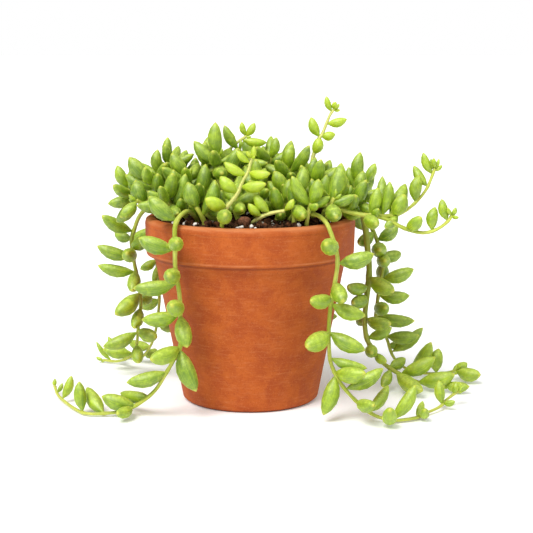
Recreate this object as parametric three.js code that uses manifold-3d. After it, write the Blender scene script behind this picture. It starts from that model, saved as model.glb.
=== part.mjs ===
// A potted string of bananas (Curio radicans): a terracotta pot full of soil, with one node for each
// leafy stem that grows from it. Millimetres, +Z up. Routes are measured from the centre of the pot's base.
import * as THREE from "three";
import { mergeVertices } from "three/addons/utils/BufferGeometryUtils.js";
import Module from "manifold-3d";

const wasm = await Module();
wasm.setup();

// Driving dimensions of the pot
const rimRadius = 55;
const potHeight = 97.2;
const baseRadius = 36;
const rimBandHeight = 19;
const wall = 6.5;
const floorThickness = 7;
const drainRadius = 5.5;
const lipRound = 2;
const footRound = 2;
const bandOverhang = 5;
const bandStep = 3.6;
const innerTaper = 1.5;
const innerFoot = baseRadius - wall + 1;
const potSides = 36;

// Driving dimensions of the soil
const soilTop = 96.2;
const soilGap = 0.3;
const soilSides = 16;
const soilRings = 2;
const soilRingInset = 0.7;
const soilRingSpare = 0.8;
const soilRelief = 0.8;
const soilSeed = 20261;

// Driving dimensions of the stems
const plugDepth = 4.5;
const plugTop = 2.2;
const stemStart = 1.5;
const holeMargin = 0.45;
const stemStep = 10;
const stemBallStep = 2;
const stemEndGap = 0.06;
const plantSides = 4;
const facetSwell = 1.1;

// Driving dimensions of the leaves
const gap = 0.6;
const ownPress = 0.72;
const leafBow = 0.07;
const budWidth = 4.6;
const fillLength = 18;
const fillWidth = 0.37;
const tuftFill = 2;
const plantSeed = 411;
// How leaves placed by rule start, turn round their stem, lean along it, lift and vary in length
const fillRule = {
  from: 0.6, step: 0.6, turn: 2.4, turnSpread: 0.8, lean: 0.35, endLean: 1.2, lift: 0.35,
  shortest: 0.85, lengthSpread: 0.25,
};
const swing = { step: 8, rounds: 9, spokes: 8, shares: [1, 0.88, 0.75] };

// Width of a leaf and of a bud along its length, as a share of its greatest width
const leafShape = [[0.28, 0.92], [0.7, 0.92]];
const budShape = [[0.55, 1]];
// Round outline of a leaf as a row of balls, for keeping leaves clear of one another
const ballPlaces = [
  [0.16, 0.5], [0.3, 0.85], [0.43, 0.98], [0.56, 1], [0.69, 0.92], [0.82, 0.7], [0.94, 0.34],
];

// Every leafy stem that shows: "root" is where it leaves the soil, "stem" its route, and each leaf is
// [place along the route, x, y, z of the tip, width]. A second entry with one node's name is its branch.
const shoots = [
  {"node": "string_front_left", "root": [-27, -20], "thick": 1.25, "thin": 0.7,
   "stem": [[-31, -29, 103], [-35, -39, 101.5], [-37, -44, 97], [-37, -45, 87], [-37, -44, 76],
            [-35, -44, 62], [-35, -44, 48], [-35, -44, 37], [-39, -44, 29], [-43, -43, 22],
            [-48, -42, 14], [-56, -41, 7], [-65, -41, 3], [-74, -41, 1.8], [-81, -41, 1.6],
            [-87, -36, 1.6], [-95, -22, 1.8], [-102, -7, 2.5], [-105, 2, 5]],
   "leaves": [[2.5, -50, -40, 112, 8.5], [3.7, -35, -65, 93, 7.5], [4.1, -55, -46, 92, 8.5],
              [5.1, -39, -65, 77, 8], [5.5, -58, -46, 67, 8], [6.3, -38, -64, 62, 8.5],
              [6.6, -54, -46, 51, 8], [6.6, -31, -56, 39, 8.5], [8.1, -27, -49, 15, 9.5],
              [8, -49, -60, 34, 8.5], [9.7, -62, -46, 19, 8], [11.4, -67, -28, 9, 6.5],
              [12.2, -75, -42, 11, 8.5], [12.4, -66, -56, 6, 6], [14, -85, -25, 9, 7.5],
              [15.7, -87, -35, 17, 6.5], [17.5, -94, -11, 14, 5], [18.2, -100, -3, 8, 2.5],
              [19, -105, 3, 9, 2]]},
  {"node": "string_front_right", "root": [20, -22], "thick": 1.25, "thin": 0.7,
   "stem": [[24, -27, 103], [28, -31, 102], [32, -35, 102], [35, -38, 101], [38, -43, 98], [41, -46, 90],
            [43, -46, 81], [42, -46, 71], [40, -46, 60], [39, -46, 49], [39, -47, 39], [40, -48, 29],
            [45, -50, 19], [52, -51, 11], [59, -52, 5], [66, -53, 2], [72, -55, 1.6], [83, -50, 1.6],
            [89, -42, 1.8], [97, -33, 2.5], [101, -26, 4], [108, -22, 8]],
   "leaves": [[6.2, 36, -65, 92, 8.5], [7.2, 61, -47, 84, 8.5],
              [8.1, 45, -62, 63, 8], [8.8, 29, -64, 64, 7.5], [9.1, 57, -48, 53, 8],
              [10.4, 27, -63, 41, 9.5], [10.4, 57, -50, 36, 8.5], [11.7, 58, -50, 27, 6],
              [12.4, 56, -64, 28, 8.5], [13.3, 66, -50, 27, 7.5], [12.5, 36, -54, 4, 8.5],
              [14.1, 60, -68, 13, 7], [15, 70, -37, 15, 6], [16.5, 67, -74, 4.2, 7.5],
              [16.7, 82, -52, 19, 7], [18, 87, -42, 8, 4], [18.7, 86, -58, 4, 5],
              [20.3, 97, -27, 15, 5.5], [20.5, 105, -32, 5, 3.5], [21.6, 107, -22, 13, 3.5],
              [22, 111, -22, 11, 2]]},
  {"node": "string_arching", "root": [28, -15], "thick": 1.3, "thin": 0.7,
   "stem": [[31, -18, 103], [35, -22, 105], [41, -25, 105], [49, -28, 102.5], [58, -30, 101],
            [68, -30, 100.5], [76, -29, 102], [83, -28, 107], [89, -26, 114], [93, -25, 124]],
   "leaves": [[9.7, 87, -24, 132, 4.5], [9.1, 83, -19, 125, 5], [8, 85, -27, 121, 6.5],
              [6.4, 77, -34, 112, 8], [6.2, 79, -20, 116, 7.5], [5.2, 64, -29, 115, 6.5],
              [5.7, 67, -21, 120, 6], [5.8, 70, -29, 118, 6], [5.3, 64, -36, 105, 4],
              [5, 62, -48, 99, 7], [6.8, 66, -36, 98, 5], [9.9, 91, -24, 129, 2],
              [10, 95, -25, 129, 2]]},
  {"node": "string_arching", "thick": 1.1, "thin": 0.7,
   "stem": [[60, -30, 101.5], [69, -33, 99], [77, -35, 95], [86, -37, 93], [93, -38, 95], [98, -39, 99],
            [100, -39, 102]],
   "leaves": [[2.1, 84, -45, 102, 6.5], [3.6, 92, -36, 106, 6], [5, 95, -37, 110, 5],
              [5.8, 102, -39, 106, 2.5]]},
  {"node": "string_right", "root": [42, -2], "thick": 2.1, "thin": 0.8,
   "stem": [[49, -4, 103], [56, 2, 101], [60, 8, 96], [62, 12, 86], [63, 13, 77], [64, 13, 66],
            [63, 13, 53], [62, 14, 39], [63, 14, 29], [66, 14, 22.5], [70.5, 14, 16], [78, 12, 10.5],
            [89.5, 10, 5], [98.5, 7, 4.5], [104.5, 5, 4.5]],
   "leaves": [[6.3, 76, -3, 57, 9], [6.7, 51, -4, 60, 7], [7.1, 54, -3, 51, 7.5], [8, 75, 0, 39, 7.5],
              [8, 59, 27, 35, 5], [9.1, 77, 15, 34, 6.5], [9.8, 65, 1, 23, 7], [10.4, 73, 4, 17, 5],
              [11.7, 85, 18, 16, 6.5], [12.3, 100, 8, 19, 8.5], [11.8, 71, 4, 3.2, 6],
              [12.1, 91, -11, 5, 8.5], [13.1, 110, 2, 11, 9], [15, 117, 0, 8.5, 6.5]]},
  {"node": "string_right_back", "root": [42, 16], "thick": 1.2, "thin": 0.7,
   "stem": [[50, 17, 102], [56, 20, 100], [61, 23, 95], [65, 26, 89], [69, 28, 81], [73, 29, 67],
            [72, 29, 58], [70, 30, 43], [70, 31, 34], [76, 34, 24], [80, 38, 13], [86, 41, 6],
            [95, 40, 2.5], [107, 36, 3], [115, 30, 6]],
   "leaves": [[4.6, 58, 15, 80, 7], [5.3, 67, 8, 80, 8.5], [5.1, 81, 28, 88, 7.5], [5.7, 72, 8, 75, 7.5],
              [5.7, 84, 39, 71, 7], [6, 74, 44, 57, 7.5], [7, 90, 28, 64, 8], [7.6, 88, 28, 49, 7.5],
              [8, 73, 11, 46, 8], [8.6, 91, 27, 35, 7.5], [9.9, 94, 31, 26, 8], [10.8, 97, 38, 29, 7],
              [10.4, 85, 44, 17, 4.5], [12.6, 101, 32, 22, 8], [13.8, 106, 38, 17, 8],
              [14.7, 122, 36, 9, 6], [15, 127, 20, 6, 8]]},
  {"node": "string_left", "root": [-40, 17], "thick": 1.25, "thin": 0.7,
   "stem": [[-48, 20, 102], [-54, 23, 100], [-60, 27, 94], [-63, 28, 87], [-65, 29, 80], [-64, 31, 68],
            [-62, 33, 56], [-61, 36, 44], [-63, 41, 30], [-65, 50, 17], [-69, 60, 8], [-78, 71, 2.2],
            [-87, 75, 2]],
   "leaves": [[4.3, -80, 19, 95, 7.5], [4.9, -75, 38, 83, 6], [5.6, -66, 10, 76, 8],
              [5.8, -84, 29, 77, 7.5], [6.5, -84, 30, 66, 7], [6.4, -64, 16, 54, 7.5],
              [7.5, -74, 21, 40, 9.5], [8.2, -64, 23, 32, 7], [5.3, -56, 17, 83, 7.5],
              [7.9, -56, 48, 45, 5.5], [9.2, -52, 32, 25, 8], [9.3, -83, 39, 18, 8],
              [10.7, -85, 56, 13, 7], [10, -63, 38, 9, 7], [11.5, -84, 76, 16, 5],
              [12.4, -91, 76, 13, 3]]},
  {"node": "string_left_back", "root": [-35, 29], "thick": 1.1, "thin": 0.7,
   "stem": [[-41, 34, 102], [-46, 38, 100], [-51, 42, 95], [-54, 46, 86], [-53, 49, 68], [-52, 50, 52],
            [-52, 51, 39], [-56, 60, 18], [-64, 74, 4], [-72, 84, 2]],
   "leaves": [[5.1, -62, 46, 61, 5.5], [5.3, -54, 40, 54, 4], [4.1, -69, 57, 76, 7.5],
              [6.2, -64, 52, 45, 6.5], [6.7, -64, 61, 37, 6.5], [7.4, -44, 66, 22, 6],
              [8.3, -72, 80, 12, 6.5], [8.8, -56, 85, 6, 5.5], [10, -80, 88, 8, 5]]},
  {"node": "sprout_tall", "root": [30, 10], "thick": 1.2, "thin": 0.6,
   "stem": [[31, 10, 107], [32, 9, 117], [33, 10, 126], [36, 10, 136], [38, 10, 139], [40, 10, 144],
            [42, 10, 149], [44, 10, 152]],
   "leaves": [[7.5, 40, 10, 159, 3.5], [8, 44, 10, 156, 1.6], [8, 47, 10, 155, 2],
              [4.3, 32, 11, 148, 5.5], [6.1, 51, 9, 147, 5], [4.6, 45, 10, 139, 5],
              [3.2, 38, 10, 137, 6], [2.2, 25, 10, 126, 6.5]]},
  {"node": "sprout_back", "root": [-3, 24], "thick": 1.1, "thin": 0.7,
   "stem": [[-9, 25, 111], [-14, 24, 122], [-11, 21, 130], [-7, 20, 134], [-2, 20, 137.5]],
   "leaves": [[5, -4.5, 20, 145, 3.4], [4.9, 2.6, 20, 144.5, 4.2], [4.5, 9, 20, 134, 5],
              [3.9, -13.5, 20, 141, 5.5]]},
  {"node": "sprout_front", "root": [-12, -33], "thick": 1.2, "thin": 0.6,
   "stem": [[-12, -36, 105], [-9, -36, 109], [-6, -35, 113], [-4, -34, 118], [-1, -33, 123],
            [0, -32, 127], [1, -32, 130]],
   "leaves": [[6.1, -7, -32, 134, 3.5], [6.5, 2, -31, 136, 3], [4.7, -13, -33, 128, 5],
              [5, 10, -40, 123, 5], [3, -15, -34, 121, 6.5], [3.6, 8, -41, 118, 6],
              [1.2, -22, -43, 111, 7]]},
  {"node": "sprout_low", "root": [1, -33], "thick": 1.1, "thin": 0.8,
   "stem": [[3, -36, 99.5], [6, -37, 101.5], [10, -38, 103], [14, -39, 104], [17, -40, 104.5]],
   "leaves": [[1.9, -1, -39, 108, 4.5], [2.95, 2, -38, 112.5, 5.5], [5, 21.5, -41, 110.5, 3.6]]},
  {"node": "tuft_01", "root": [-39, 8], "thick": 1.4, "thin": 0.9,
   "stem": [[-46, 7, 103], [-55, 6, 105], [-61, 6, 107], [-64, 6, 111]],
   "leaves": [[4, -70, 7, 123, 6.5], [3.2, -71, -6, 114, 6], [2.3, -63, 7, 121, 7.5],
              [2.9, -75, 4, 103, 6.5]]},
  {"node": "tuft_02", "root": [-41, -8], "thick": 1.4, "thin": 0.9,
   "stem": [[-45, -9, 102], [-52, -10, 103], [-55, -14, 105], [-58, -16, 107]],
   "leaves": [[2.5, -59, -11, 117, 8.5], [4, -66, -22, 99, 6.5], [1.8, -50, 1, 112, 4.5]], "fill": 0},
  {"node": "tuft_03", "root": [-35, 0], "thick": 1.4, "thin": 0.9,
   "stem": [[-43, -2, 105], [-48, -2, 109], [-51, -2, 114], [-52, 0, 117]],
   "leaves": [[3.4, -63, -1, 128, 8.5], [2.1, -47, -17, 121, 6.5], [3, -54, -21, 114, 6]]},
  {"node": "tuft_04", "root": [-33, 12], "thick": 1.4, "thin": 0.9,
   "stem": [[-42, 12, 105], [-48, 12, 112], [-49, 12, 118]],
   "leaves": [[3, -49, 13, 131, 6], [3, -49, 25, 126, 5], [2.2, -44, -3, 125, 7],
              [2.9, -58, 27, 124, 6]]},
  {"node": "tuft_05", "root": [-29, 22], "thick": 1.4, "thin": 0.9,
   "stem": [[-37, 21, 108], [-42, 20, 118], [-43, 20, 123]],
   "leaves": [[3, -44, 21, 137, 5.5], [2.6, -52, 20, 132, 5.5], [2.8, -30, 21, 128, 5],
              [2.9, -39, 37, 131, 5.5]]},
  {"node": "tuft_06", "root": [-32, -15], "thick": 1.3, "thin": 0.9,
   "stem": [[-38, -15, 103], [-42, -15, 106], [-42, -14, 110]],
   "leaves": [[2.7, -41, -13, 123, 6], [2, -41, -2, 113, 4.5], [2, -45, -31, 116, 5.5],
              [1.6, -36, -31, 102, 6]]},
  {"node": "tuft_07", "root": [-23, -29], "thick": 1.3, "thin": 0.9,
   "stem": [[-25, -31, 102], [-28, -31, 107]],
   "leaves": [[1.4, -33, -29, 117, 8]]},
  {"node": "tuft_08", "root": [-24, 3], "thick": 1.3, "thin": 0.9,
   "stem": [[-29, 2, 105], [-32, 0, 114], [-32, 0, 118]],
   "leaves": [[2.9, -41, 0, 130, 7.5], [2.6, -26, 16, 125, 6.5], [2.1, -36, -17, 124, 6]]},
  {"node": "tuft_09", "root": [-21, -10], "thick": 1.3, "thin": 0.9,
   "stem": [[-27, -12, 103], [-28, -11, 109]],
   "leaves": [[1.7, -28, -10, 126, 7.5], [1.5, -23, 6, 112, 6], [1.2, -35, 6, 109, 5.5],
              [1.2, -25, -31, 105, 6.5]]},
  {"node": "tuft_10", "root": [-17, 13], "thick": 1.3, "thin": 0.9,
   "stem": [[-22, 12, 107], [-24, 12, 117], [-24, 12, 122]],
   "leaves": [[3, -29, 13, 134, 7], [2.8, -33, 28, 127, 5.5], [2.8, -22, 29, 129, 6]]},
  {"node": "tuft_11", "root": [-12, 0], "thick": 1.3, "thin": 0.9,
   "stem": [[-15, -1, 110], [-17, -1, 122], [-16, 0, 128]],
   "leaves": [[3, -18, 1, 146, 7.5], [2.1, -16, -20, 123, 7.5], [2.7, -10, 17, 131, 6],
              [2.3, -23, -19, 129, 6.5], [2.5, 0, 4, 130, 7]], "fill": 1},
  {"node": "tuft_12", "root": [-4, 10], "thick": 1.3, "thin": 0.9,
   "stem": [[-6, 11, 110], [-7, 12, 124], [-6, 14, 131]],
   "leaves": [[3, -15, 14, 143, 5.5], [2.7, -13, -3, 127, 6], [2.1, 0, -5, 124, 6.5],
              [2.1, -12, 30, 131, 6]]},
  {"node": "tuft_13", "root": [-14, -42], "thick": 1.1, "thin": 0.9,
   "stem": [[-13, -43, 103]],
   "leaves": [[0.9, -12, -56, 105, 7.5]], "fill": 0},
  {"node": "tuft_14", "root": [-18, -22], "thick": 1.3, "thin": 0.9,
   "stem": [[-22, -24, 101], [-21, -25, 106]],
   "leaves": [[1.2, -20, -24, 119, 7], [2, -16, -10, 114, 6], [1.5, -28, -9, 108, 5.5]]},
  {"node": "tuft_15", "root": [-6, -22], "thick": 1.3, "thin": 0.9,
   "stem": [[-8, -24, 104], [-7, -22, 109]],
   "leaves": [[1.4, 5, -23, 112, 7.5], [1.7, -13, -5, 113, 6.5], [2, -5, -5, 117, 6],
              [1.7, -2, -41, 107, 6.5]]},
  {"node": "tuft_16", "root": [8, 18], "thick": 1.3, "thin": 0.9,
   "stem": [[9, 18, 108], [10, 18, 120], [11, 18, 126]],
   "leaves": [[3, 14, 19, 137, 5.5], [2.9, 2, 4, 126, 6], [2.3, 20, 18, 129, 6], [2.3, 7, 36, 131, 6]]},
  {"node": "tuft_17", "root": [20, 7], "thick": 1.3, "thin": 0.9,
   "stem": [[22, 7, 106], [22, 6, 115], [20, 6, 121]],
   "leaves": [[3, 22, 7, 134, 7], [2, 26, 22, 124, 6.5], [2.6, 33, 17, 129, 6.5],
              [2.4, 13, -9, 127, 6.5], [2.9, 17, 23, 129, 6]]},
  {"node": "tuft_18", "root": [14, -10], "thick": 1.3, "thin": 0.9,
   "stem": [[17, -10, 103], [20, -9, 111]],
   "leaves": [[2, 15, -8, 123, 7.5], [1.4, 10, -9, 117, 6], [1.6, 26, 7, 114, 6],
              [1.3, 10, -26, 110, 5.5]]},
  {"node": "tuft_19", "root": [13, -25], "thick": 1.2, "thin": 0.9,
   "stem": [[16, -25, 102], [17, -24, 106]],
   "leaves": [[2, 18, -23, 119, 6.5], [0.8, 15, -35, 102, 5.5], [1.8, 12, -8, 107, 5.5]]},
  {"node": "tuft_20", "root": [22, -31], "thick": 1.2, "thin": 0.9,
   "stem": [[22, -31, 104], [24, -29, 111]],
   "leaves": [[2, 27, -25, 125, 7], [1.3, 26, -47, 110, 7.5], [1.7, 20, -11, 112, 5.5]]},
  {"node": "tuft_21", "root": [33, 0], "thick": 1.3, "thin": 0.9,
   "stem": [[32, -2, 106], [32, -3, 112], [33, -3, 116]],
   "leaves": [[2.5, 34, -2, 128, 5.5], [3, 46, 6, 122, 5], [2.3, 27, 14, 119, 6.5]]},
  {"node": "tuft_22", "root": [28, -36], "thick": 1.1, "thin": 0.9,
   "stem": [[29, -36, 103], [30, -36, 108]],
   "leaves": [[1.8, 34, -36, 120, 7], [1.5, 33, -44, 108, 4]]},
  {"node": "tuft_23", "root": [37, -12], "thick": 1.3, "thin": 0.9,
   "stem": [[39, -13, 103], [40, -14, 109]],
   "leaves": [[1.4, 39, -13, 120, 6], [1.8, 46, 3, 114, 6], [1.8, 33, -30, 115, 6]]},
  {"node": "tuft_24", "root": [38, -26], "thick": 1.3, "thin": 0.9,
   "stem": [[39, -30, 104], [42, -31, 110]],
   "leaves": [[1.5, 46, -24, 127, 8], [1.4, 40, -47, 102, 8]], "fill": 0},
  {"node": "tuft_25", "root": [40, 8], "thick": 1.3, "thin": 0.9,
   "stem": [[46, 8, 103], [53, 8, 106], [56, 6, 111], [60, 6, 114]],
   "leaves": [[3.3, 58, 7, 130, 7], [4, 66, 7, 124, 5.5], [2.7, 52, 8, 122, 5.5],
              [2.3, 49, 24, 114, 6.5]]},
  {"node": "tuft_26", "root": [44, -13], "thick": 1.3, "thin": 0.9,
   "stem": [[47, -13, 102], [53, -14, 105], [57, -14, 108]],
   "leaves": [[3, 58, -13, 122, 6.5], [2.2, 59, 5, 114, 6.5], [1.4, 53, -29, 111, 7],
              [1.6, 50, 3, 118, 4.5], [3, 67, -14, 112, 5.5]]},
  {"node": "tuft_27", "root": [3, -8], "thick": 1.3, "thin": 0.9,
   "stem": [[3, -9, 106], [3, -9, 114]],
   "leaves": [[2, 3, -14, 128, 6.5], [1.6, -4, -20, 118, 6], [1.4, 9, -22, 113, 6], [1.8, 8, 2, 122, 6]]},
];

// Tufts that fill the back of the pot: [angle in degrees, root radius, reach outwards, height]
const backTufts = [
  [44, 41, 12, 16], [72, 42, 12, 18], [100, 42, 13, 17], [128, 43, 12, 18], [150, 36, 14, 15],
  [50, 27, 6, 22], [80, 31, 6, 24], [112, 31, 6, 24],
];
// Shares of the reach and the height that a tuft's stem passes through
const tuftRoute = [[0.45, 0.45], [0.85, 0.75], [1, 1]];
const tuftLeaves = 5;
// Stems that trail down the back: [angle in degrees, height of the tip]. Each climbs over the rim by the
// same [radius, height] points, then hangs in equal drops, swaying by up to some degrees left and right
const backTrails = [[58, 32], [86, 12], [115, 24]];
const trailRoot = 36;
const trailOverRim = [[46, 100], [52, 101.5], [57, 99], [59, 92]];
const trailDrops = 5;
const trailSpread = 0.4;
const trailSway = 4.5;
const trailLeaves = 11;
const trailLeavesFrom = 2.2;

// Seeded random numbers from 0 to 1 (Park and Miller)
function makeRandom(seed) {
  let state = seed;
  return () => {
    state = (state * 16807) % 2147483647;
    return state / 2147483647;
  };
}

const xAxis = new THREE.Vector3(1, 0, 0);
const yAxis = new THREE.Vector3(0, 1, 0);
const up = new THREE.Vector3(0, 0, 1);

function polarPoint(degrees, radius, z) {
  const turn = (degrees * Math.PI) / 180;
  return [radius * Math.cos(turn), radius * Math.sin(turn), z];
}

// Shoots made by rule for the tufts and trails at the back
function backShoots() {
  const made = [];
  backTufts.forEach(([angle, radius, reach, height], index) => {
    made.push({
      node: `tuft_back_${String(index + 1).padStart(2, "0")}`,
      root: polarPoint(angle, radius, 0).slice(0, 2),
      thick: 1.3,
      thin: 0.9,
      stem: tuftRoute.map(([out, rise]) => (
        polarPoint(angle, radius + reach * out, soilTop + height * rise)
      )),
      leaves: [],
      fill: tuftLeaves,
    });
  });
  backTrails.forEach(([angle, tipHeight], index) => {
    const [hangRadius, hangHeight] = trailOverRim.at(-1);
    const stem = trailOverRim.map(([r, z]) => polarPoint(angle, r, z));
    for (let k = 1; k <= trailDrops; k += 1) {
      const sway = trailSway * Math.sin(2 * (k + index));
      const height = hangHeight + ((tipHeight - hangHeight) * k) / trailDrops;
      stem.push(polarPoint(angle + sway, hangRadius + trailSpread * (k + 1), height));
    }
    made.push({
      node: `string_back_${index + 1}`,
      root: polarPoint(angle, trailRoot, 0).slice(0, 2),
      thick: 1.25,
      thin: 0.7,
      stem,
      leaves: [],
      fill: trailLeaves,
      from: trailLeavesFrom,
    });
  });
  return made;
}

// Turns a closed geometry into a solid, and back
function solidOf(geometry) {
  const bare = geometry.clone();
  bare.deleteAttribute("normal");
  bare.deleteAttribute("uv");
  const merged = mergeVertices(bare, 1e-4);
  return new wasm.Manifold(new wasm.Mesh({
    numProp: 3,
    vertProperties: Float32Array.from(merged.attributes.position.array),
    triVerts: Uint32Array.from(merged.index.array),
  }));
}

function geometryOf(solid) {
  const mesh = solid.getMesh();
  const geometry = new THREE.BufferGeometry();
  geometry.setAttribute("position", new THREE.BufferAttribute(Float32Array.from(mesh.vertProperties), 3));
  geometry.setIndex(new THREE.BufferAttribute(Uint32Array.from(mesh.triVerts), 1));
  geometry.computeVertexNormals();
  return geometry;
}

// Rings of equal side count joined into one closed solid; a ring of one point is a sharp end
function loft(rings) {
  const points = rings.flat();
  const triangles = [];
  const starts = [];
  let start = 0;
  for (const ring of rings) {
    starts.push(start);
    start += ring.length;
  }
  for (let k = 0; k + 1 < rings.length; k += 1) {
    const n = Math.max(rings[k].length, rings[k + 1].length);
    for (let i = 0; i < n; i += 1) {
      const a = starts[k] + i;
      const b = starts[k] + ((i + 1) % n);
      const c = starts[k + 1] + i;
      const d = starts[k + 1] + ((i + 1) % n);
      if (rings[k + 1].length === 1) {
        triangles.push(a, b, starts[k + 1]);
      } else if (rings[k].length === 1) {
        triangles.push(starts[k], d, c);
      } else {
        triangles.push(a, b, d, a, d, c);
      }
    }
  }
  const capAt = (index, flip) => {
    for (let i = 1; i + 1 < rings[index].length; i += 1) {
      const [p, q] = flip ? [i + 1, i] : [i, i + 1];
      triangles.push(starts[index], starts[index] + p, starts[index] + q);
    }
  };
  capAt(0, true);
  capAt(rings.length - 1, false);
  const geometry = new THREE.BufferGeometry();
  const flat = points.flatMap((p) => [p.x, p.y, p.z]);
  geometry.setAttribute("position", new THREE.Float32BufferAttribute(flat, 3));
  geometry.setIndex(triangles);
  return geometry;
}

// A ring of points round a centre, square to the pair of side directions
function ringAt(centre, sideA, sideB, radius, sides) {
  const ring = [];
  for (let i = 0; i < sides; i += 1) {
    const turn = (2 * Math.PI * i) / sides;
    ring.push(centre.clone()
      .addScaledVector(sideA, radius * Math.cos(turn))
      .addScaledVector(sideB, radius * Math.sin(turn)));
  }
  return ring;
}

function curveOf(shoot) {
  const route = shoot.stem.map((p) => new THREE.Vector3(...p));
  if (shoot.root) {
    route.unshift(new THREE.Vector3(...shoot.root, soilTop + stemStart));
  }
  return { curve: new THREE.CatmullRomCurve3(route, false, "catmullrom", 0.5), spans: route.length - 1 };
}

// A point on a route, a little short of its end at most, so that a leaf there has stem to grow from
function pointAt(line, place) {
  return line.curve.getPoint(Math.min(place, line.spans - stemEndGap) / line.spans);
}

// The stem's solid, with a straight plug down into the soil where it has a root
function stemSolid(shoot, line) {
  const steps = Math.max(line.spans, Math.round(line.curve.getLength() / stemStep));
  const rings = [];
  let sideA = null;
  for (let k = 0; k <= steps; k += 1) {
    const u = k / steps;
    const tangent = line.curve.getTangent(u);
    if (sideA === null) {
      sideA = new THREE.Vector3(1, 0, 0);
      if (Math.abs(tangent.x) > 0.8) sideA.set(0, 1, 0);
    }
    sideA.addScaledVector(tangent, -sideA.dot(tangent)).normalize();
    const sideB = new THREE.Vector3().crossVectors(tangent, sideA);
    const radius = (shoot.thick + (shoot.thin - shoot.thick) * u) * facetSwell;
    rings.push(ringAt(line.curve.getPoint(u), sideA, sideB, radius, plantSides));
  }
  return solidOf(loft(rings));
}

// An upright prism where a stem goes into the soil: the stem's own plug, or the hole for it
function plugSolid(shoot, radius, bottom, top) {
  const rings = [bottom, top].map((z) => (
    ringAt(new THREE.Vector3(...shoot.root, z), xAxis, yAxis, radius, plantSides)
  ));
  return solidOf(loft(rings));
}

// A point on the leaf's middle line, which sags a little between its root and its tip
function leafSpine(leaf, u) {
  const bend = -leafBow * leaf.length * Math.sin(Math.PI * u);
  return leaf.root.clone().addScaledVector(leaf.axis, leaf.length * u).addScaledVector(leaf.rise, bend);
}

// The direction square to an axis that points most nearly upwards
function riseOf(axis) {
  const rise = up.clone().addScaledVector(axis, -axis.z);
  if (rise.length() < 0.2) rise.set(1, 0, 0).addScaledVector(axis, -axis.x);
  return rise.normalize();
}

function leafSolid(leaf) {
  const shape = leaf.width < budWidth ? budShape : leafShape;
  const sideB = new THREE.Vector3().crossVectors(leaf.axis, leaf.rise);
  const rings = shape.map(([u, share]) => (
    ringAt(leafSpine(leaf, u), leaf.rise, sideB, (leaf.width / 2) * share * facetSwell, plantSides)
  ));
  return solidOf(loft([[leaf.root], ...rings, [leafSpine(leaf, 1)]]));
}

function leafBalls(leaf) {
  return ballPlaces.map(([u, share]) => {
    const p = leafSpine(leaf, u);
    return [p.x, p.y, p.z, (leaf.width / 2) * share];
  });
}

// Outer radius of the pot at a height
function potRadius(z) {
  const creaseHeight = potHeight - rimBandHeight - bandStep;
  const flare = (rimRadius - bandOverhang - baseRadius) / creaseHeight;
  return z < creaseHeight ? baseRadius + flare * z : rimRadius;
}

// Whether a ball stays clear of the floor, the pot and the soil
function ballIsFree([x, y, z, r]) {
  const radius = Math.hypot(x, y);
  if (z < r + gap / 3) return false;
  if (z - r > potHeight + gap) return true;
  const lipCentre = rimRadius - wall / 2;
  const lipHeight = potHeight - wall / 2;
  if (radius > lipCentre) {
    if (z < lipHeight) return radius > potRadius(z) + r + gap;
    return Math.hypot(radius - lipCentre, z - lipHeight) > wall / 2 + r + gap;
  }
  return radius < rimRadius - wall - r - gap && z - r > soilTop + 2 * gap;
}

// Whether balls come too near those already taken: leaves of one stem may press together a little, and
// a leaf grows out of its own stem
function touches(balls, taken, node) {
  return balls.some(([x, y, z, r]) => taken.some((other) => {
    const own = other.node === node;
    if (own && other.isStem) return false;
    const reach = own ? (r + other.r) * ownPress : r + other.r + gap;
    return (x - other.x) ** 2 + (y - other.y) ** 2 + (z - other.z) ** 2 < reach * reach;
  }));
}

// Swings a leaf about its root, a little further each round, until it clears everything else
function settle(leaf, taken, node) {
  const first = leaf.axis.clone();
  const sideA = riseOf(first);
  const sideB = new THREE.Vector3().crossVectors(first, sideA);
  const fullLength = leaf.length;
  const fullWidth = leaf.width;
  for (const share of swing.shares) {
    leaf.length = fullLength * share;
    leaf.width = fullWidth * share;
    for (let round = 0; round < swing.rounds; round += 1) {
      const tilt = (round * swing.step * Math.PI) / 180;
      const spokes = round === 0 ? 1 : swing.spokes;
      for (let spoke = 0; spoke < spokes; spoke += 1) {
        const turn = (2 * Math.PI * spoke) / spokes;
        leaf.axis.copy(first).multiplyScalar(Math.cos(tilt))
          .addScaledVector(sideA, Math.sin(tilt) * Math.cos(turn))
          .addScaledVector(sideB, Math.sin(tilt) * Math.sin(turn))
          .normalize();
        leaf.rise = riseOf(leaf.axis);
        const balls = leafBalls(leaf);
        if (balls.every(ballIsFree) && !touches(balls, taken, node)) return balls;
      }
    }
  }
  return null;
}

// A leaf that points from its place on the stem to the tip that the table gives
function tableLeaf(line, [place, x, y, z, width]) {
  const root = pointAt(line, place);
  const axis = new THREE.Vector3(x, y, z).sub(root);
  const length = axis.length();
  return { root, axis: axis.normalize(), length, width };
}

function fillCount(shoot) {
  return shoot.fill ?? (shoot.node.startsWith("tuft") ? tuftFill : 0);
}

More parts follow.
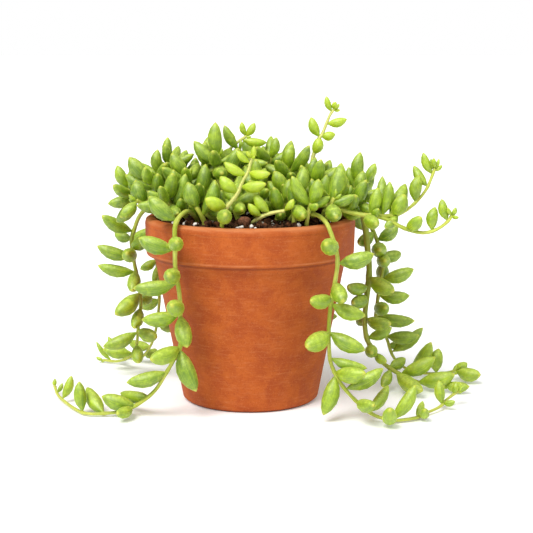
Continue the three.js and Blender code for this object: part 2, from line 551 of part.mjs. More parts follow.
// A leaf placed by rule: round the stem by the golden angle, leaning towards the stem's tip and upwards
function ruleLeaf(shoot, line, index, random) {
  const from = shoot.from ?? fillRule.from;
  const place = from + ((line.spans - from) * (index + fillRule.step * random())) / fillCount(shoot);
  const root = pointAt(line, place);
  const tangent = line.curve.getTangent(Math.min(place / line.spans, 1));
  const sideA = riseOf(tangent);
  const sideB = new THREE.Vector3().crossVectors(tangent, sideA);
  const turn = index * fillRule.turn + fillRule.turnSpread * random();
  const lean = index === (shoot.fill ?? 0) - 1 ? fillRule.endLean : fillRule.lean;
  const axis = tangent.clone().multiplyScalar(lean)
    .addScaledVector(sideA, Math.cos(turn))
    .addScaledVector(sideB, Math.sin(turn));
  axis.z += fillRule.lift;
  const length = fillLength * (fillRule.shortest + fillRule.lengthSpread * random());
  return { root, axis: axis.normalize(), length, width: length * fillWidth };
}

// Places every leaf: first the table's, then those that a rule adds where there is room
function growPlant(all) {
  const taken = [];
  const random = makeRandom(plantSeed);
  const grown = all.map((shoot) => ({ shoot, line: curveOf(shoot), leaves: [] }));
  for (const { shoot, line } of grown) {
    const steps = Math.round(line.curve.getLength() / stemBallStep);
    for (let k = 0; k <= steps; k += 1) {
      const { x, y, z } = line.curve.getPoint(k / steps);
      const r = shoot.thick + ((shoot.thin - shoot.thick) * k) / steps;
      taken.push({ x, y, z, r, node: shoot.node, isStem: true });
    }
  }
  const place = (plant, leaf) => {
    const balls = settle(leaf, taken, plant.shoot.node);
    if (balls === null) return;
    plant.leaves.push(leaf);
    balls.forEach(([x, y, z, r]) => taken.push({ x, y, z, r, node: plant.shoot.node, isStem: false }));
  };
  grown.forEach((plant) => plant.shoot.leaves.forEach((row) => {
    place(plant, tableLeaf(plant.line, row));
  }));
  grown.forEach((plant) => {
    for (let index = 0; index < fillCount(plant.shoot); index += 1) {
      place(plant, ruleLeaf(plant.shoot, plant.line, index, random));
    }
  });
  return grown;
}

// One solid for each node: its stems, plugs and leaves joined, without loose scraps or sealed hollows
function leafyNodes(grown) {
  const nodes = new Map();
  for (const { shoot, line, leaves } of grown) {
    const pieces = [stemSolid(shoot, line)];
    if (shoot.root) pieces.push(plugSolid(shoot, shoot.thick, soilTop - plugDepth, soilTop + plugTop));
    leaves.forEach((leaf) => pieces.push(leafSolid(leaf)));
    const before = nodes.get(shoot.node);
    const joined = pieces.reduce((sum, piece) => sum.add(piece));
    nodes.set(shoot.node, before ? before.add(joined) : joined);
  }
  for (const [node, solid] of nodes) {
    const bodies = solid.decompose();
    bodies.sort((a, b) => b.volume() - a.volume());
    nodes.set(node, bodies[0]);
  }
  return nodes;
}

// The pot's section, from the drain hole round the outside, over the lip and down the inside
function potGeometry() {
  const bandFoot = potHeight - rimBandHeight;
  const innerTop = rimRadius - wall;
  const lipFoot = potHeight - lipRound * 1.5;
  const section = [
    [drainRadius, 0],
    [baseRadius - footRound, 0],
    [baseRadius, footRound * 0.8],
    [rimRadius - bandOverhang, bandFoot - bandStep],
    [rimRadius - lipRound * 0.45, bandFoot],
    [rimRadius, lipFoot],
    [rimRadius - lipRound * 0.25, potHeight - lipRound * 0.45],
    [rimRadius - lipRound, potHeight],
    [innerTop + lipRound, potHeight],
    [innerTop, lipFoot],
    [innerTop - innerTaper, bandFoot],
    [innerFoot, floorThickness],
    [drainRadius, floorThickness],
  ];
  const profile = section.map(([r, z]) => new THREE.Vector2(r, z));
  profile.push(profile[0].clone());
  const geometry = new THREE.LatheGeometry(profile, potSides);
  geometry.rotateX(Math.PI / 2);
  return geometryOf(solidOf(geometry));
}

// Soil: a plug with a crumbly top, and a plain hole for each stem
function soilGeometry(all) {
  const random = makeRandom(soilSeed);
  const topRadius = rimRadius - wall - soilGap;
  const ringOf = (radius, z) => ringAt(new THREE.Vector3(0, 0, z), xAxis, yAxis, radius, soilSides);
  const rings = [
    ringOf(innerFoot - soilGap, floorThickness + soilGap),
    ringOf(topRadius - innerTaper, potHeight - rimBandHeight),
    ringOf(topRadius, soilTop - 2 * soilGap),
  ];
  for (let k = 0; k < soilRings; k += 1) {
    const ring = ringOf(topRadius * (1 - (k + soilRingInset) / (soilRings + soilRingSpare)), soilTop);
    ring.forEach((p) => {
      p.z += soilRelief * (random() - 0.4);
    });
    rings.push(ring);
  }
  rings.push([new THREE.Vector3(0, 0, soilTop)]);
  let solid = solidOf(loft(rings));
  all.filter((shoot) => shoot.root).forEach((shoot) => {
    const bottom = soilTop - plugDepth - soilGap;
    solid = solid.subtract(plugSolid(shoot, shoot.thick + holeMargin, bottom, soilTop + plugDepth));
  });
  return geometryOf(solid);
}

const colours = {
  terracotta: new THREE.Color(0.62, 0.24, 0.1),
  soil: new THREE.Color(0.07, 0.045, 0.03),
  leaf: new THREE.Color(0.2, 0.36, 0.06),
  youngLeaf: new THREE.Color(0.34, 0.5, 0.07),
};

function meshOf(name, geometry, colour, roughness) {
  const material = new THREE.MeshStandardMaterial({ color: colour, roughness, metalness: 0 });
  const mesh = new THREE.Mesh(geometry, material);
  mesh.name = name;
  return mesh;
}

const allShoots = [...shoots, ...backShoots()];
const group = new THREE.Group();
group.add(meshOf("pot", potGeometry(), colours.terracotta, 0.85));
group.add(meshOf("soil", soilGeometry(allShoots), colours.soil, 0.95));
for (const [node, solid] of leafyNodes(growPlant(allShoots))) {
  const colour = node.startsWith("sprout") ? colours.youngLeaf : colours.leaf;
  group.add(meshOf(node, geometryOf(solid), colour, 0.45));
}

// The origin is below the middle of the whole plant, so the group slides over by the offset of its box
const middle = new THREE.Box3().setFromObject(group).getCenter(new THREE.Vector3());
group.position.set(-middle.x, -middle.y, 0);
group.updateMatrixWorld(true);

export default group;
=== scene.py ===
import math
import bpy
import numpy as np
from random import Random
from mathutils import Euler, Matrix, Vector, noise


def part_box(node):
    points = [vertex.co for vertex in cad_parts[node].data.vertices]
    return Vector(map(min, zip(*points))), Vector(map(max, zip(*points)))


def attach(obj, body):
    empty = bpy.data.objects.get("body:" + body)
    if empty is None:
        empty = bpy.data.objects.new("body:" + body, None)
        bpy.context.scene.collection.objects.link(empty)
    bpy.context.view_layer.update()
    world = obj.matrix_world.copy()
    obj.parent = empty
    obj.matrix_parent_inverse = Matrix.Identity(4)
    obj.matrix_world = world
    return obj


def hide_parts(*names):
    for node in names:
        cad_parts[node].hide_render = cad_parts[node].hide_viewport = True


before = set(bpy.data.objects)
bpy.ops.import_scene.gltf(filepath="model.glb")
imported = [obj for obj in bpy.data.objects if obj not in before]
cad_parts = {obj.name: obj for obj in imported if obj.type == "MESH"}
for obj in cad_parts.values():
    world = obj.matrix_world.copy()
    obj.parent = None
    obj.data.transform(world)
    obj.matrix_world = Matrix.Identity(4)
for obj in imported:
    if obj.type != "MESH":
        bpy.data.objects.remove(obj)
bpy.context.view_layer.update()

# A string of bananas in a terracotta pot. Routes and leaves are in millimetres from the middle of the
# pot's base, and toScene turns them into the frame's metres.
scene = bpy.context.scene
potLow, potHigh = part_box("pot")
potAxis = ((potLow[0] + potHigh[0]) / 2, (potLow[1] + potHigh[1]) / 2)
mm = 0.001


def toScene(point):
    return Vector((potAxis[0] + point[0] * mm, potAxis[1] + point[1] * mm, point[2] * mm))


# The camera stands in front of the pot and looks a little down on it
cameraSettings = {
    "distance": 693.7, "height": 183.9, "tiltDown": 0.1626, "turnRight": 0.0123, "lens": 89.97,
}


def makeCamera():
    s = cameraSettings
    data = bpy.data.cameras.new("viewCamera")
    data.lens = s["lens"]
    camera = bpy.data.objects.new("viewCamera", data)
    camera.location = toScene((0, -s["distance"], s["height"]))
    camera.rotation_euler = (math.pi / 2 - s["tiltDown"], 0, -s["turnRight"])
    scene.collection.objects.link(camera)
    scene.camera = camera


makeCamera()
print("camera set")

# Sizes of pot and soil. The frame's box of the pot gives its height and its rim. Each step of the band's
# edge is [in from the rim, up from the band's foot], and the lip's curve is in shares of the lip.
potHeight = (potHigh[2] - potLow[2]) / mm
rimRadius = (potHigh[0] - potLow[0]) / mm / 2
potShape = {
    "baseRadius": 36, "bandHeight": 19, "bandStep": 3.6, "overhang": 5, "wall": 6.5, "floor": 7,
    "drainRadius": 5.5, "footRound": 2, "footRise": 0.8, "innerTaper": 1.5, "innerFoot": 1,
    "bandEdge": [(2.9, -0.9), (0.9, -0.3), (0.5, 0.4)],
    "lip": 2, "lipStart": 1.5, "lipOuter": (0.25, 0.45), "lipInner": (0.2, 0.45),
    "steps": 144, "bevel": 0.25, "bevelSteps": 2, "bevelFrom": 14, "smoothTo": 40,
}
soilShape = {"top": 96.2, "gap": 0.3}
bandFoot = potHeight - potShape["bandHeight"]
innerFoot = potShape["baseRadius"] - potShape["wall"] + potShape["innerFoot"]
plantShape = {"stemStart": 1.5, "gap": 0.6, "ownPress": 0.72, "bow": 0.07, "tuftFill": 2, "seed": 411}


# One leafy stem: "root" is where it leaves the soil, "stem" its route, and each leaf is [place along the
# route, x, y, z of the tip, width]. One without a root is a branch of the node that it names.
def leafyStem(node, root, stem, leaves, thick=1.3, thin=0.9, **more):
    return {"node": node, "root": root, "stem": stem, "leaves": leaves, "thick": thick, "thin": thin} | more


# Every leafy stem that shows
shoots = [
    leafyStem("string_front_left", [-27, -20], [[-31, -29, 103], [-35, -39, 101.5], [-37, -44, 97],
        [-37, -45, 87], [-37, -44, 76], [-35, -44, 62], [-35, -44, 48], [-35, -44, 37], [-39, -44, 29],
        [-43, -43, 22], [-48, -42, 14], [-56, -41, 7], [-65, -41, 3], [-74, -41, 1.8], [-81, -41, 1.6],
        [-87, -36, 1.6], [-95, -22, 1.8], [-102, -7, 2.5], [-105, 2, 5]], [[2.5, -50, -40, 112, 8.5],
        [3.7, -35, -65, 93, 7.5], [4.1, -55, -46, 92, 8.5], [5.1, -39, -65, 77, 8], [5.5, -58, -46, 67, 8],
        [6.3, -38, -64, 62, 8.5], [6.6, -54, -46, 51, 8], [6.6, -31, -56, 39, 8.5],
        [8.1, -27, -49, 15, 9.5], [8, -49, -60, 34, 8.5], [9.7, -62, -46, 19, 8], [11.4, -67, -28, 9, 6.5],
        [12.2, -75, -42, 11, 8.5], [12.4, -66, -56, 6, 6], [14, -85, -25, 9, 7.5],
        [15.7, -87, -35, 17, 6.5], [17.5, -94, -11, 14, 5], [18.2, -100, -3, 8, 2.5], [19, -105, 3, 9, 2]],
        thick=1.25, thin=0.7),
    leafyStem("string_front_right", [20, -22], [[24, -27, 103], [28, -31, 102], [32, -35, 102],
        [35, -38, 101], [38, -43, 98], [41, -46, 90], [43, -46, 81], [42, -46, 71], [40, -46, 60],
        [39, -46, 49], [39, -47, 39], [40, -48, 29], [45, -50, 19], [52, -51, 11], [59, -52, 5],
        [66, -53, 2], [72, -55, 1.6], [83, -50, 1.6], [89, -42, 1.8], [97, -33, 2.5], [101, -26, 4],
        [108, -22, 8]], [[6.2, 36, -65, 92, 8.5], [7.2, 61, -47, 84, 8.5], [8.1, 45, -62, 63, 8],
        [8.8, 29, -64, 64, 7.5], [9.1, 57, -48, 53, 8], [10.4, 27, -63, 41, 9.5], [10.4, 57, -50, 36, 8.5],
        [11.7, 58, -50, 27, 6], [12.4, 56, -64, 28, 8.5], [13.3, 66, -50, 27, 7.5], [12.5, 36, -54, 4, 8.5],
        [14.1, 60, -68, 13, 7], [15, 70, -37, 15, 6], [16.5, 67, -74, 4.2, 7.5], [16.7, 82, -52, 19, 7],
        [18, 87, -42, 8, 4], [18.7, 86, -58, 4, 5], [20.3, 97, -27, 15, 5.5], [20.5, 105, -32, 5, 3.5],
        [21.6, 107, -22, 13, 3.5], [22, 111, -22, 11, 2]], thick=1.25, thin=0.7),
    leafyStem("string_arching", [28, -15], [[31, -18, 103], [35, -22, 105], [41, -25, 105],
        [49, -28, 102.5], [58, -30, 101], [68, -30, 100.5], [76, -29, 102], [83, -28, 107], [89, -26, 114],
        [93, -25, 124]], [[9.7, 87, -24, 132, 4.5], [9.1, 83, -19, 125, 5], [8, 85, -27, 121, 6.5],
        [6.4, 77, -34, 112, 8], [6.2, 79, -20, 116, 7.5], [5.2, 64, -29, 115, 6.5], [5.7, 67, -21, 120, 6],
        [5.8, 70, -29, 118, 6], [5.3, 64, -36, 105, 4], [5, 62, -48, 99, 7], [6.8, 66, -36, 98, 5],
        [9.9, 91, -24, 129, 2], [10, 95, -25, 129, 2]], thin=0.7),
    leafyStem("string_arching", None, [[60, -30, 101.5], [69, -33, 99], [77, -35, 95], [86, -37, 93],
        [93, -38, 95], [98, -39, 99], [100, -39, 102]], [[2.1, 84, -45, 102, 6.5], [3.6, 92, -36, 106, 6],
        [5, 95, -37, 110, 5], [5.8, 102, -39, 106, 2.5]], thick=1.1, thin=0.7),
    leafyStem("string_right", [42, -2], [[49, -4, 103], [56, 2, 101], [60, 8, 96], [62, 12, 86],
        [63, 13, 77], [64, 13, 66], [63, 13, 53], [62, 14, 39], [63, 14, 29], [66, 14, 22.5],
        [70.5, 14, 16], [78, 12, 10.5], [89.5, 10, 5], [98.5, 7, 4.5], [104.5, 5, 4.5]],
        [[6.3, 76, -3, 57, 9], [6.7, 51, -4, 60, 7], [7.1, 54, -3, 51, 7.5], [8, 75, 0, 39, 7.5],
        [8, 59, 27, 35, 5], [9.1, 77, 15, 34, 6.5], [9.8, 65, 1, 23, 7], [10.4, 73, 4, 17, 5],
        [11.7, 85, 18, 16, 6.5], [12.3, 100, 8, 19, 8.5], [11.8, 71, 4, 3.2, 6], [12.1, 91, -11, 5, 8.5],
        [13.1, 110, 2, 11, 9], [15, 117, 0, 8.5, 6.5]], thick=2.1, thin=0.8),
    leafyStem("string_right_back", [42, 16], [[50, 17, 102], [56, 20, 100], [61, 23, 95], [65, 26, 89],
        [69, 28, 81], [73, 29, 67], [72, 29, 58], [70, 30, 43], [70, 31, 34], [76, 34, 24], [80, 38, 13],
        [86, 41, 6], [95, 40, 2.5], [107, 36, 3], [115, 30, 6]], [[4.6, 58, 15, 80, 7],
        [5.3, 67, 8, 80, 8.5], [5.1, 81, 28, 88, 7.5], [5.7, 72, 8, 75, 7.5], [5.7, 84, 39, 71, 7],
        [6, 74, 44, 57, 7.5], [7, 90, 28, 64, 8], [7.6, 88, 28, 49, 7.5], [8, 73, 11, 46, 8],
        [8.6, 91, 27, 35, 7.5], [9.9, 94, 31, 26, 8], [10.8, 97, 38, 29, 7], [10.4, 85, 44, 17, 4.5],
        [12.6, 101, 32, 22, 8], [13.8, 106, 38, 17, 8], [14.7, 122, 36, 9, 6], [15, 127, 20, 6, 8]],
        thick=1.2, thin=0.7),
    leafyStem("string_left", [-40, 17], [[-48, 20, 102], [-54, 23, 100], [-60, 27, 94], [-63, 28, 87],
        [-65, 29, 80], [-64, 31, 68], [-62, 33, 56], [-61, 36, 44], [-63, 41, 30], [-65, 50, 17],
        [-69, 60, 8], [-78, 71, 2.2], [-87, 75, 2]], [[4.3, -80, 19, 95, 7.5], [4.9, -75, 38, 83, 6],
        [5.6, -66, 10, 76, 8], [5.8, -84, 29, 77, 7.5], [6.5, -84, 30, 66, 7], [6.4, -64, 16, 54, 7.5],
        [7.5, -74, 21, 40, 9.5], [8.2, -64, 23, 32, 7], [5.3, -56, 17, 83, 7.5], [7.9, -56, 48, 45, 5.5],
        [9.2, -52, 32, 25, 8], [9.3, -83, 39, 18, 8], [10.7, -85, 56, 13, 7], [10, -63, 38, 9, 7],
        [11.5, -84, 76, 16, 5], [12.4, -91, 76, 13, 3]], thick=1.25, thin=0.7),
    leafyStem("string_left_back", [-35, 29], [[-41, 34, 102], [-46, 38, 100], [-51, 42, 95], [-54, 46, 86],
        [-53, 49, 68], [-52, 50, 52], [-52, 51, 39], [-56, 60, 18], [-64, 74, 4], [-72, 84, 2]],
        [[5.1, -62, 46, 61, 5.5], [5.3, -54, 40, 54, 4], [4.1, -69, 57, 76, 7.5], [6.2, -64, 52, 45, 6.5],
        [6.7, -64, 61, 37, 6.5], [7.4, -44, 66, 22, 6], [8.3, -72, 80, 12, 6.5], [8.8, -56, 85, 6, 5.5],
        [10, -80, 88, 8, 5]], thick=1.1, thin=0.7),
    leafyStem("sprout_tall", [30, 10], [[31, 10, 107], [32, 9, 117], [33, 10, 126], [36, 10, 136],
        [38, 10, 139], [40, 10, 144], [42, 10, 149], [44, 10, 152]], [[7.5, 40, 10, 159, 3.5],
        [8, 44, 10, 156, 1.6], [8, 47, 10, 155, 2], [4.3, 32, 11, 148, 5.5], [6.1, 51, 9, 147, 5],
        [4.6, 45, 10, 139, 5], [3.2, 38, 10, 137, 6], [2.2, 25, 10, 126, 6.5]], thick=1.2, thin=0.6),
    leafyStem("sprout_back", [-3, 24], [[-9, 25, 111], [-14, 24, 122], [-11, 21, 130], [-7, 20, 134],
        [-2, 20, 137.5]], [[5, -4.5, 20, 145, 3.4], [4.9, 2.6, 20, 144.5, 4.2], [4.5, 9, 20, 134, 5],
        [3.9, -13.5, 20, 141, 5.5]], thick=1.1, thin=0.7),
    leafyStem("sprout_front", [-12, -33], [[-12, -36, 105], [-9, -36, 109], [-6, -35, 113], [-4, -34, 118],
        [-1, -33, 123], [0, -32, 127], [1, -32, 130]], [[6.1, -7, -32, 134, 3.5], [6.5, 2, -31, 136, 3],
        [4.7, -13, -33, 128, 5], [5, 10, -40, 123, 5], [3, -15, -34, 121, 6.5], [3.6, 8, -41, 118, 6],
        [1.2, -22, -43, 111, 7]], thick=1.2, thin=0.6),
    leafyStem("sprout_low", [1, -33], [[3, -36, 99.5], [6, -37, 101.5], [10, -38, 103], [14, -39, 104],
        [17, -40, 104.5]], [[1.9, -1, -39, 108, 4.5], [2.95, 2, -38, 112.5, 5.5],
        [5, 21.5, -41, 110.5, 3.6]], thick=1.1, thin=0.8),
    leafyStem("tuft_01", [-39, 8], [[-46, 7, 103], [-55, 6, 105], [-61, 6, 107], [-64, 6, 111]],
        [[4, -70, 7, 123, 6.5], [3.2, -71, -6, 114, 6], [2.3, -63, 7, 121, 7.5], [2.9, -75, 4, 103, 6.5]],
        thick=1.4),
    leafyStem("tuft_02", [-41, -8], [[-45, -9, 102], [-52, -10, 103], [-55, -14, 105], [-58, -16, 107]],
        [[2.5, -59, -11, 117, 8.5], [4, -66, -22, 99, 6.5], [1.8, -50, 1, 112, 4.5]], thick=1.4, fill=0),
    leafyStem("tuft_03", [-35, 0], [[-43, -2, 105], [-48, -2, 109], [-51, -2, 114], [-52, 0, 117]],
        [[3.4, -63, -1, 128, 8.5], [2.1, -47, -17, 121, 6.5], [3, -54, -21, 114, 6]], thick=1.4),
    leafyStem("tuft_04", [-33, 12], [[-42, 12, 105], [-48, 12, 112], [-49, 12, 118]], [[3, -49, 13, 131, 6],
        [3, -49, 25, 126, 5], [2.2, -44, -3, 125, 7], [2.9, -58, 27, 124, 6]], thick=1.4),
    leafyStem("tuft_05", [-29, 22], [[-37, 21, 108], [-42, 20, 118], [-43, 20, 123]],
        [[3, -44, 21, 137, 5.5], [2.6, -52, 20, 132, 5.5], [2.8, -30, 21, 128, 5],
        [2.9, -39, 37, 131, 5.5]], thick=1.4),
    leafyStem("tuft_06", [-32, -15], [[-38, -15, 103], [-42, -15, 106], [-42, -14, 110]],
        [[2.7, -41, -13, 123, 6], [2, -41, -2, 113, 4.5], [2, -45, -31, 116, 5.5],
        [1.6, -36, -31, 102, 6]]),
    leafyStem("tuft_07", [-23, -29], [[-25, -31, 102], [-28, -31, 107]], [[1.4, -33, -29, 117, 8]]),
    leafyStem("tuft_08", [-24, 3], [[-29, 2, 105], [-32, 0, 114], [-32, 0, 118]], [[2.9, -41, 0, 130, 7.5],
        [2.6, -26, 16, 125, 6.5], [2.1, -36, -17, 124, 6]]),
    leafyStem("tuft_09", [-21, -10], [[-27, -12, 103], [-28, -11, 109]], [[1.7, -28, -10, 126, 7.5],
        [1.5, -23, 6, 112, 6], [1.2, -35, 6, 109, 5.5], [1.2, -25, -31, 105, 6.5]]),
    leafyStem("tuft_10", [-17, 13], [[-22, 12, 107], [-24, 12, 117], [-24, 12, 122]], [[3, -29, 13, 134, 7],
        [2.8, -33, 28, 127, 5.5], [2.8, -22, 29, 129, 6]]),
    leafyStem("tuft_11", [-12, 0], [[-15, -1, 110], [-17, -1, 122], [-16, 0, 128]], [[3, -18, 1, 146, 7.5],
        [2.1, -16, -20, 123, 7.5], [2.7, -10, 17, 131, 6], [2.3, -23, -19, 129, 6.5], [2.5, 0, 4, 130, 7]],
        fill=1),
    leafyStem("tuft_12", [-4, 10], [[-6, 11, 110], [-7, 12, 124], [-6, 14, 131]], [[3, -15, 14, 143, 5.5],
        [2.7, -13, -3, 127, 6], [2.1, 0, -5, 124, 6.5], [2.1, -12, 30, 131, 6]]),
    leafyStem("tuft_13", [-14, -42], [[-13, -43, 103]], [[0.9, -12, -56, 105, 7.5]], thick=1.1, fill=0),
    leafyStem("tuft_14", [-18, -22], [[-22, -24, 101], [-21, -25, 106]], [[1.2, -20, -24, 119, 7],
        [2, -16, -10, 114, 6], [1.5, -28, -9, 108, 5.5]]),
    leafyStem("tuft_15", [-6, -22], [[-8, -24, 104], [-7, -22, 109]], [[1.4, 5, -23, 112, 7.5],
        [1.7, -13, -5, 113, 6.5], [2, -5, -5, 117, 6], [1.7, -2, -41, 107, 6.5]]),
    leafyStem("tuft_16", [8, 18], [[9, 18, 108], [10, 18, 120], [11, 18, 126]], [[3, 14, 19, 137, 5.5],
        [2.9, 2, 4, 126, 6], [2.3, 20, 18, 129, 6], [2.3, 7, 36, 131, 6]]),
    leafyStem("tuft_17", [20, 7], [[22, 7, 106], [22, 6, 115], [20, 6, 121]], [[3, 22, 7, 134, 7],
        [2, 26, 22, 124, 6.5], [2.6, 33, 17, 129, 6.5], [2.4, 13, -9, 127, 6.5], [2.9, 17, 23, 129, 6]]),
    leafyStem("tuft_18", [14, -10], [[17, -10, 103], [20, -9, 111]], [[2, 15, -8, 123, 7.5],
        [1.4, 10, -9, 117, 6], [1.6, 26, 7, 114, 6], [1.3, 10, -26, 110, 5.5]]),
    leafyStem("tuft_19", [13, -25], [[16, -25, 102], [17, -24, 106]], [[2, 18, -23, 119, 6.5],
        [0.8, 15, -35, 102, 5.5], [1.8, 12, -8, 107, 5.5]], thick=1.2),
    leafyStem("tuft_20", [22, -31], [[22, -31, 104], [24, -29, 111]], [[2, 27, -25, 125, 7],
        [1.3, 26, -47, 110, 7.5], [1.7, 20, -11, 112, 5.5]], thick=1.2),
    leafyStem("tuft_21", [33, 0], [[32, -2, 106], [32, -3, 112], [33, -3, 116]], [[2.5, 34, -2, 128, 5.5],
        [3, 46, 6, 122, 5], [2.3, 27, 14, 119, 6.5]]),
    leafyStem("tuft_22", [28, -36], [[29, -36, 103], [30, -36, 108]], [[1.8, 34, -36, 120, 7],
        [1.5, 33, -44, 108, 4]], thick=1.1),
    leafyStem("tuft_23", [37, -12], [[39, -13, 103], [40, -14, 109]], [[1.4, 39, -13, 120, 6],
        [1.8, 46, 3, 114, 6], [1.8, 33, -30, 115, 6]]),
    leafyStem("tuft_24", [38, -26], [[39, -30, 104], [42, -31, 110]], [[1.5, 46, -24, 127, 8],
        [1.4, 40, -47, 102, 8]], fill=0),
    leafyStem("tuft_25", [40, 8], [[46, 8, 103], [53, 8, 106], [56, 6, 111], [60, 6, 114]],
        [[3.3, 58, 7, 130, 7], [4, 66, 7, 124, 5.5], [2.7, 52, 8, 122, 5.5], [2.3, 49, 24, 114, 6.5]]),
    leafyStem("tuft_26", [44, -13], [[47, -13, 102], [53, -14, 105], [57, -14, 108]],
        [[3, 58, -13, 122, 6.5], [2.2, 59, 5, 114, 6.5], [1.4, 53, -29, 111, 7], [1.6, 50, 3, 118, 4.5],
        [3, 67, -14, 112, 5.5]]),
    leafyStem("tuft_27", [3, -8], [[3, -9, 106], [3, -9, 114]], [[2, 3, -14, 128, 6.5],
        [1.6, -4, -20, 118, 6], [1.4, 9, -22, 113, 6], [1.8, 8, 2, 122, 6]]),
]


# Routes and leaves, by the rules that the part itself grows by
curveShape = {"headingStep": 0.0001, "lengthSteps": 200, "ballStep": 2, "endGap": 0.06, "leastRise": 0.2}
randomRule = {"factor": 16807, "modulus": 2147483647}


def routeOf(shoot):
    points = [np.array(point, float) for point in shoot["stem"]]
    if shoot["root"]:
        points.insert(0, np.array([*shoot["root"], soilShape["top"] + plantShape["stemStart"]]))
    return points


# A smooth curve through all the points of the route
def alongRoute(route, place):
    place = min(max(place, 0), len(route) - 1)
    k = min(int(place), len(route) - 2)
    w = place - k
    a, b = route[k], route[k + 1]
    before = route[k - 1] if k > 0 else 2 * a - b
    after = route[k + 2] if k + 2 < len(route) else 2 * b - a
    leave, arrive = (b - before) / 2, (after - a) / 2
    return a + leave * w + (3 * (b - a) - 2 * leave - arrive) * w**2 + (2 * (a - b) + leave + arrive) * w**3


def unit(vector):
    return vector / np.linalg.norm(vector)


def headingAt(route, place):
    step = curveShape["headingStep"] * (len(route) - 1)
    place = min(max(place, 0), len(route) - 1)
    return unit(alongRoute(route, place + step) - alongRoute(route, place - step))


def routeLength(route):
    steps = curveShape["lengthSteps"]
    points = [alongRoute(route, (len(route) - 1) * k / steps) for k in range(steps + 1)]
    return sum(np.linalg.norm(b - a) for a, b in zip(points, points[1:]))


# The direction square to an axis that rises most, or runs along x where the axis itself is upright
def riseOf(axis):
    rise = np.array([0, 0, 1.0]) - axis * axis[2]
    if np.linalg.norm(rise) < curveShape["leastRise"]:
        rise = np.array([1.0, 0, 0]) - axis * axis[0]
    return unit(rise)


# A direction square to the heading, turned round it
def roundHeading(heading, turn):
    sideA = riseOf(heading)
    return sideA * math.cos(turn) + np.cross(heading, sideA) * math.sin(turn)


def makeRandom(seed):
    state = {"value": seed}

    def draw():
        state["value"] = state["value"] * randomRule["factor"] % randomRule["modulus"]
        return state["value"] / randomRule["modulus"]
    return draw


# A value drawn from a spread: its least value, and how much a draw can add
def drawIn(spread, draw):
    return spread[0] + spread[1] * draw()


# Each leaf's round outline as a row of balls: place along it and share of half its width
ballPlaces = np.array([0.16, 0.3, 0.43, 0.56, 0.69, 0.82, 0.94])
ballShares = np.array([0.5, 0.85, 0.98, 1, 0.92, 0.7, 0.34])


def leafSpine(leaf, share):
    bend = -plantShape["bow"] * leaf["length"] * np.sin(np.pi * share)
    share, bend = np.atleast_1d(share)[:, None], np.atleast_1d(bend)[:, None]
    return leaf["root"] + share * leaf["length"] * leaf["axis"] + bend * leaf["rise"]


def leafBalls(leaf):
    return np.column_stack([leafSpine(leaf, ballPlaces), leaf["width"] / 2 * ballShares])


def potRadiusAt(z):
    crease = bandFoot - potShape["bandStep"]
    flare = (rimRadius - potShape["overhang"] - potShape["baseRadius"]) / crease
    return np.where(z < crease, potShape["baseRadius"] + flare * z, rimRadius)


# True where every ball clears the pot, the soil and the floor
def ballsAreFree(balls, gap):
    x, y, z, r = balls.T
    radius, wall = np.hypot(x, y), potShape["wall"]
    lipCentre, lipHeight = rimRadius - wall / 2, potHeight - wall / 2
    outside = np.where(z < lipHeight, radius > potRadiusAt(z) + r + gap,
                       np.hypot(radius - lipCentre, z - lipHeight) > wall / 2 + r + gap)
    inside = (radius < rimRadius - wall - r - gap) & (z - r > soilShape["top"] + 2 * plantShape["gap"])
    free = (z - r > potHeight + gap) | np.where(radius > lipCentre, outside, inside)
    return bool(np.all(free & (z >= r + plantShape["gap"] / 3)))


# "balls" are all that a leaf keeps clear of: x, y, z, radius, number of its node, 1 for a stem
def addBalls(space, balls, node, isStem):
    extra = np.column_stack([balls, np.full(len(balls), node), np.full(len(balls), isStem)])
    space["balls"] = np.vstack([space["balls"], extra])


# Leaves of one node may press together, and leave their own stem freely
def ballsTouch(balls, near, node, gap):
    away = np.linalg.norm(balls[:, None, :3] - near[None, :, :3], axis=2)
    reach = balls[:, None, 3] + near[None, :, 3]
    own = near[None, :, 4] == node
    reach = np.where(own, reach * plantShape["ownPress"], reach + gap)
    reach = np.where(own & (near[None, :, 5] == 1), 0, reach)
    return bool(np.any(away < reach))


# How far a leaf is swung, and by what shares it is then made smaller, while it finds no room
swing = {"rounds": 9, "degrees": 8, "spokes": 8, "nearby": 8, "shares": (1, 0.88, 0.75)}


# Swings a leaf about its root, a little further each round, until it clears everything else
def settle(leaf, space, node, gap, shares):
    first = leaf["axis"]
    sideA = riseOf(first)
    sideB = np.cross(first, sideA)
    length, width = leaf["length"], leaf["width"]
    away = np.linalg.norm(space["balls"][:, :3] - leaf["root"], axis=1)
    near = space["balls"][away < length + swing["nearby"]]
    for share in shares:
        leaf["length"], leaf["width"] = length * share, width * share
        for round in range(swing["rounds"]):
            tilt = math.radians(round * swing["degrees"])
            for spoke in range(1 if round == 0 else swing["spokes"]):
                turn = math.tau * spoke / swing["spokes"]
                leaf["axis"] = unit(first * math.cos(tilt) + sideA * math.sin(tilt) * math.cos(turn)
                                    + sideB * math.sin(tilt) * math.sin(turn))
                leaf["rise"] = riseOf(leaf["axis"])
                balls = leafBalls(leaf)
                if ballsAreFree(balls, gap) and not ballsTouch(balls, near, node, gap):
                    return balls
    return None


def placeLeaf(plant, leaf, space, gap=plantShape["gap"], shares=swing["shares"]):
    balls = settle(leaf, space, plant["number"], gap, shares)
    if balls is not None:
        plant["leaves"].append(leaf)
        addBalls(space, balls, plant["number"], 0)
    return balls is not None


def newLeaf(route, place, axis, length, width, **more):
    return {"root": alongRoute(route, place), "axis": unit(axis), "length": length, "width": length * width,
            "place": place} | more


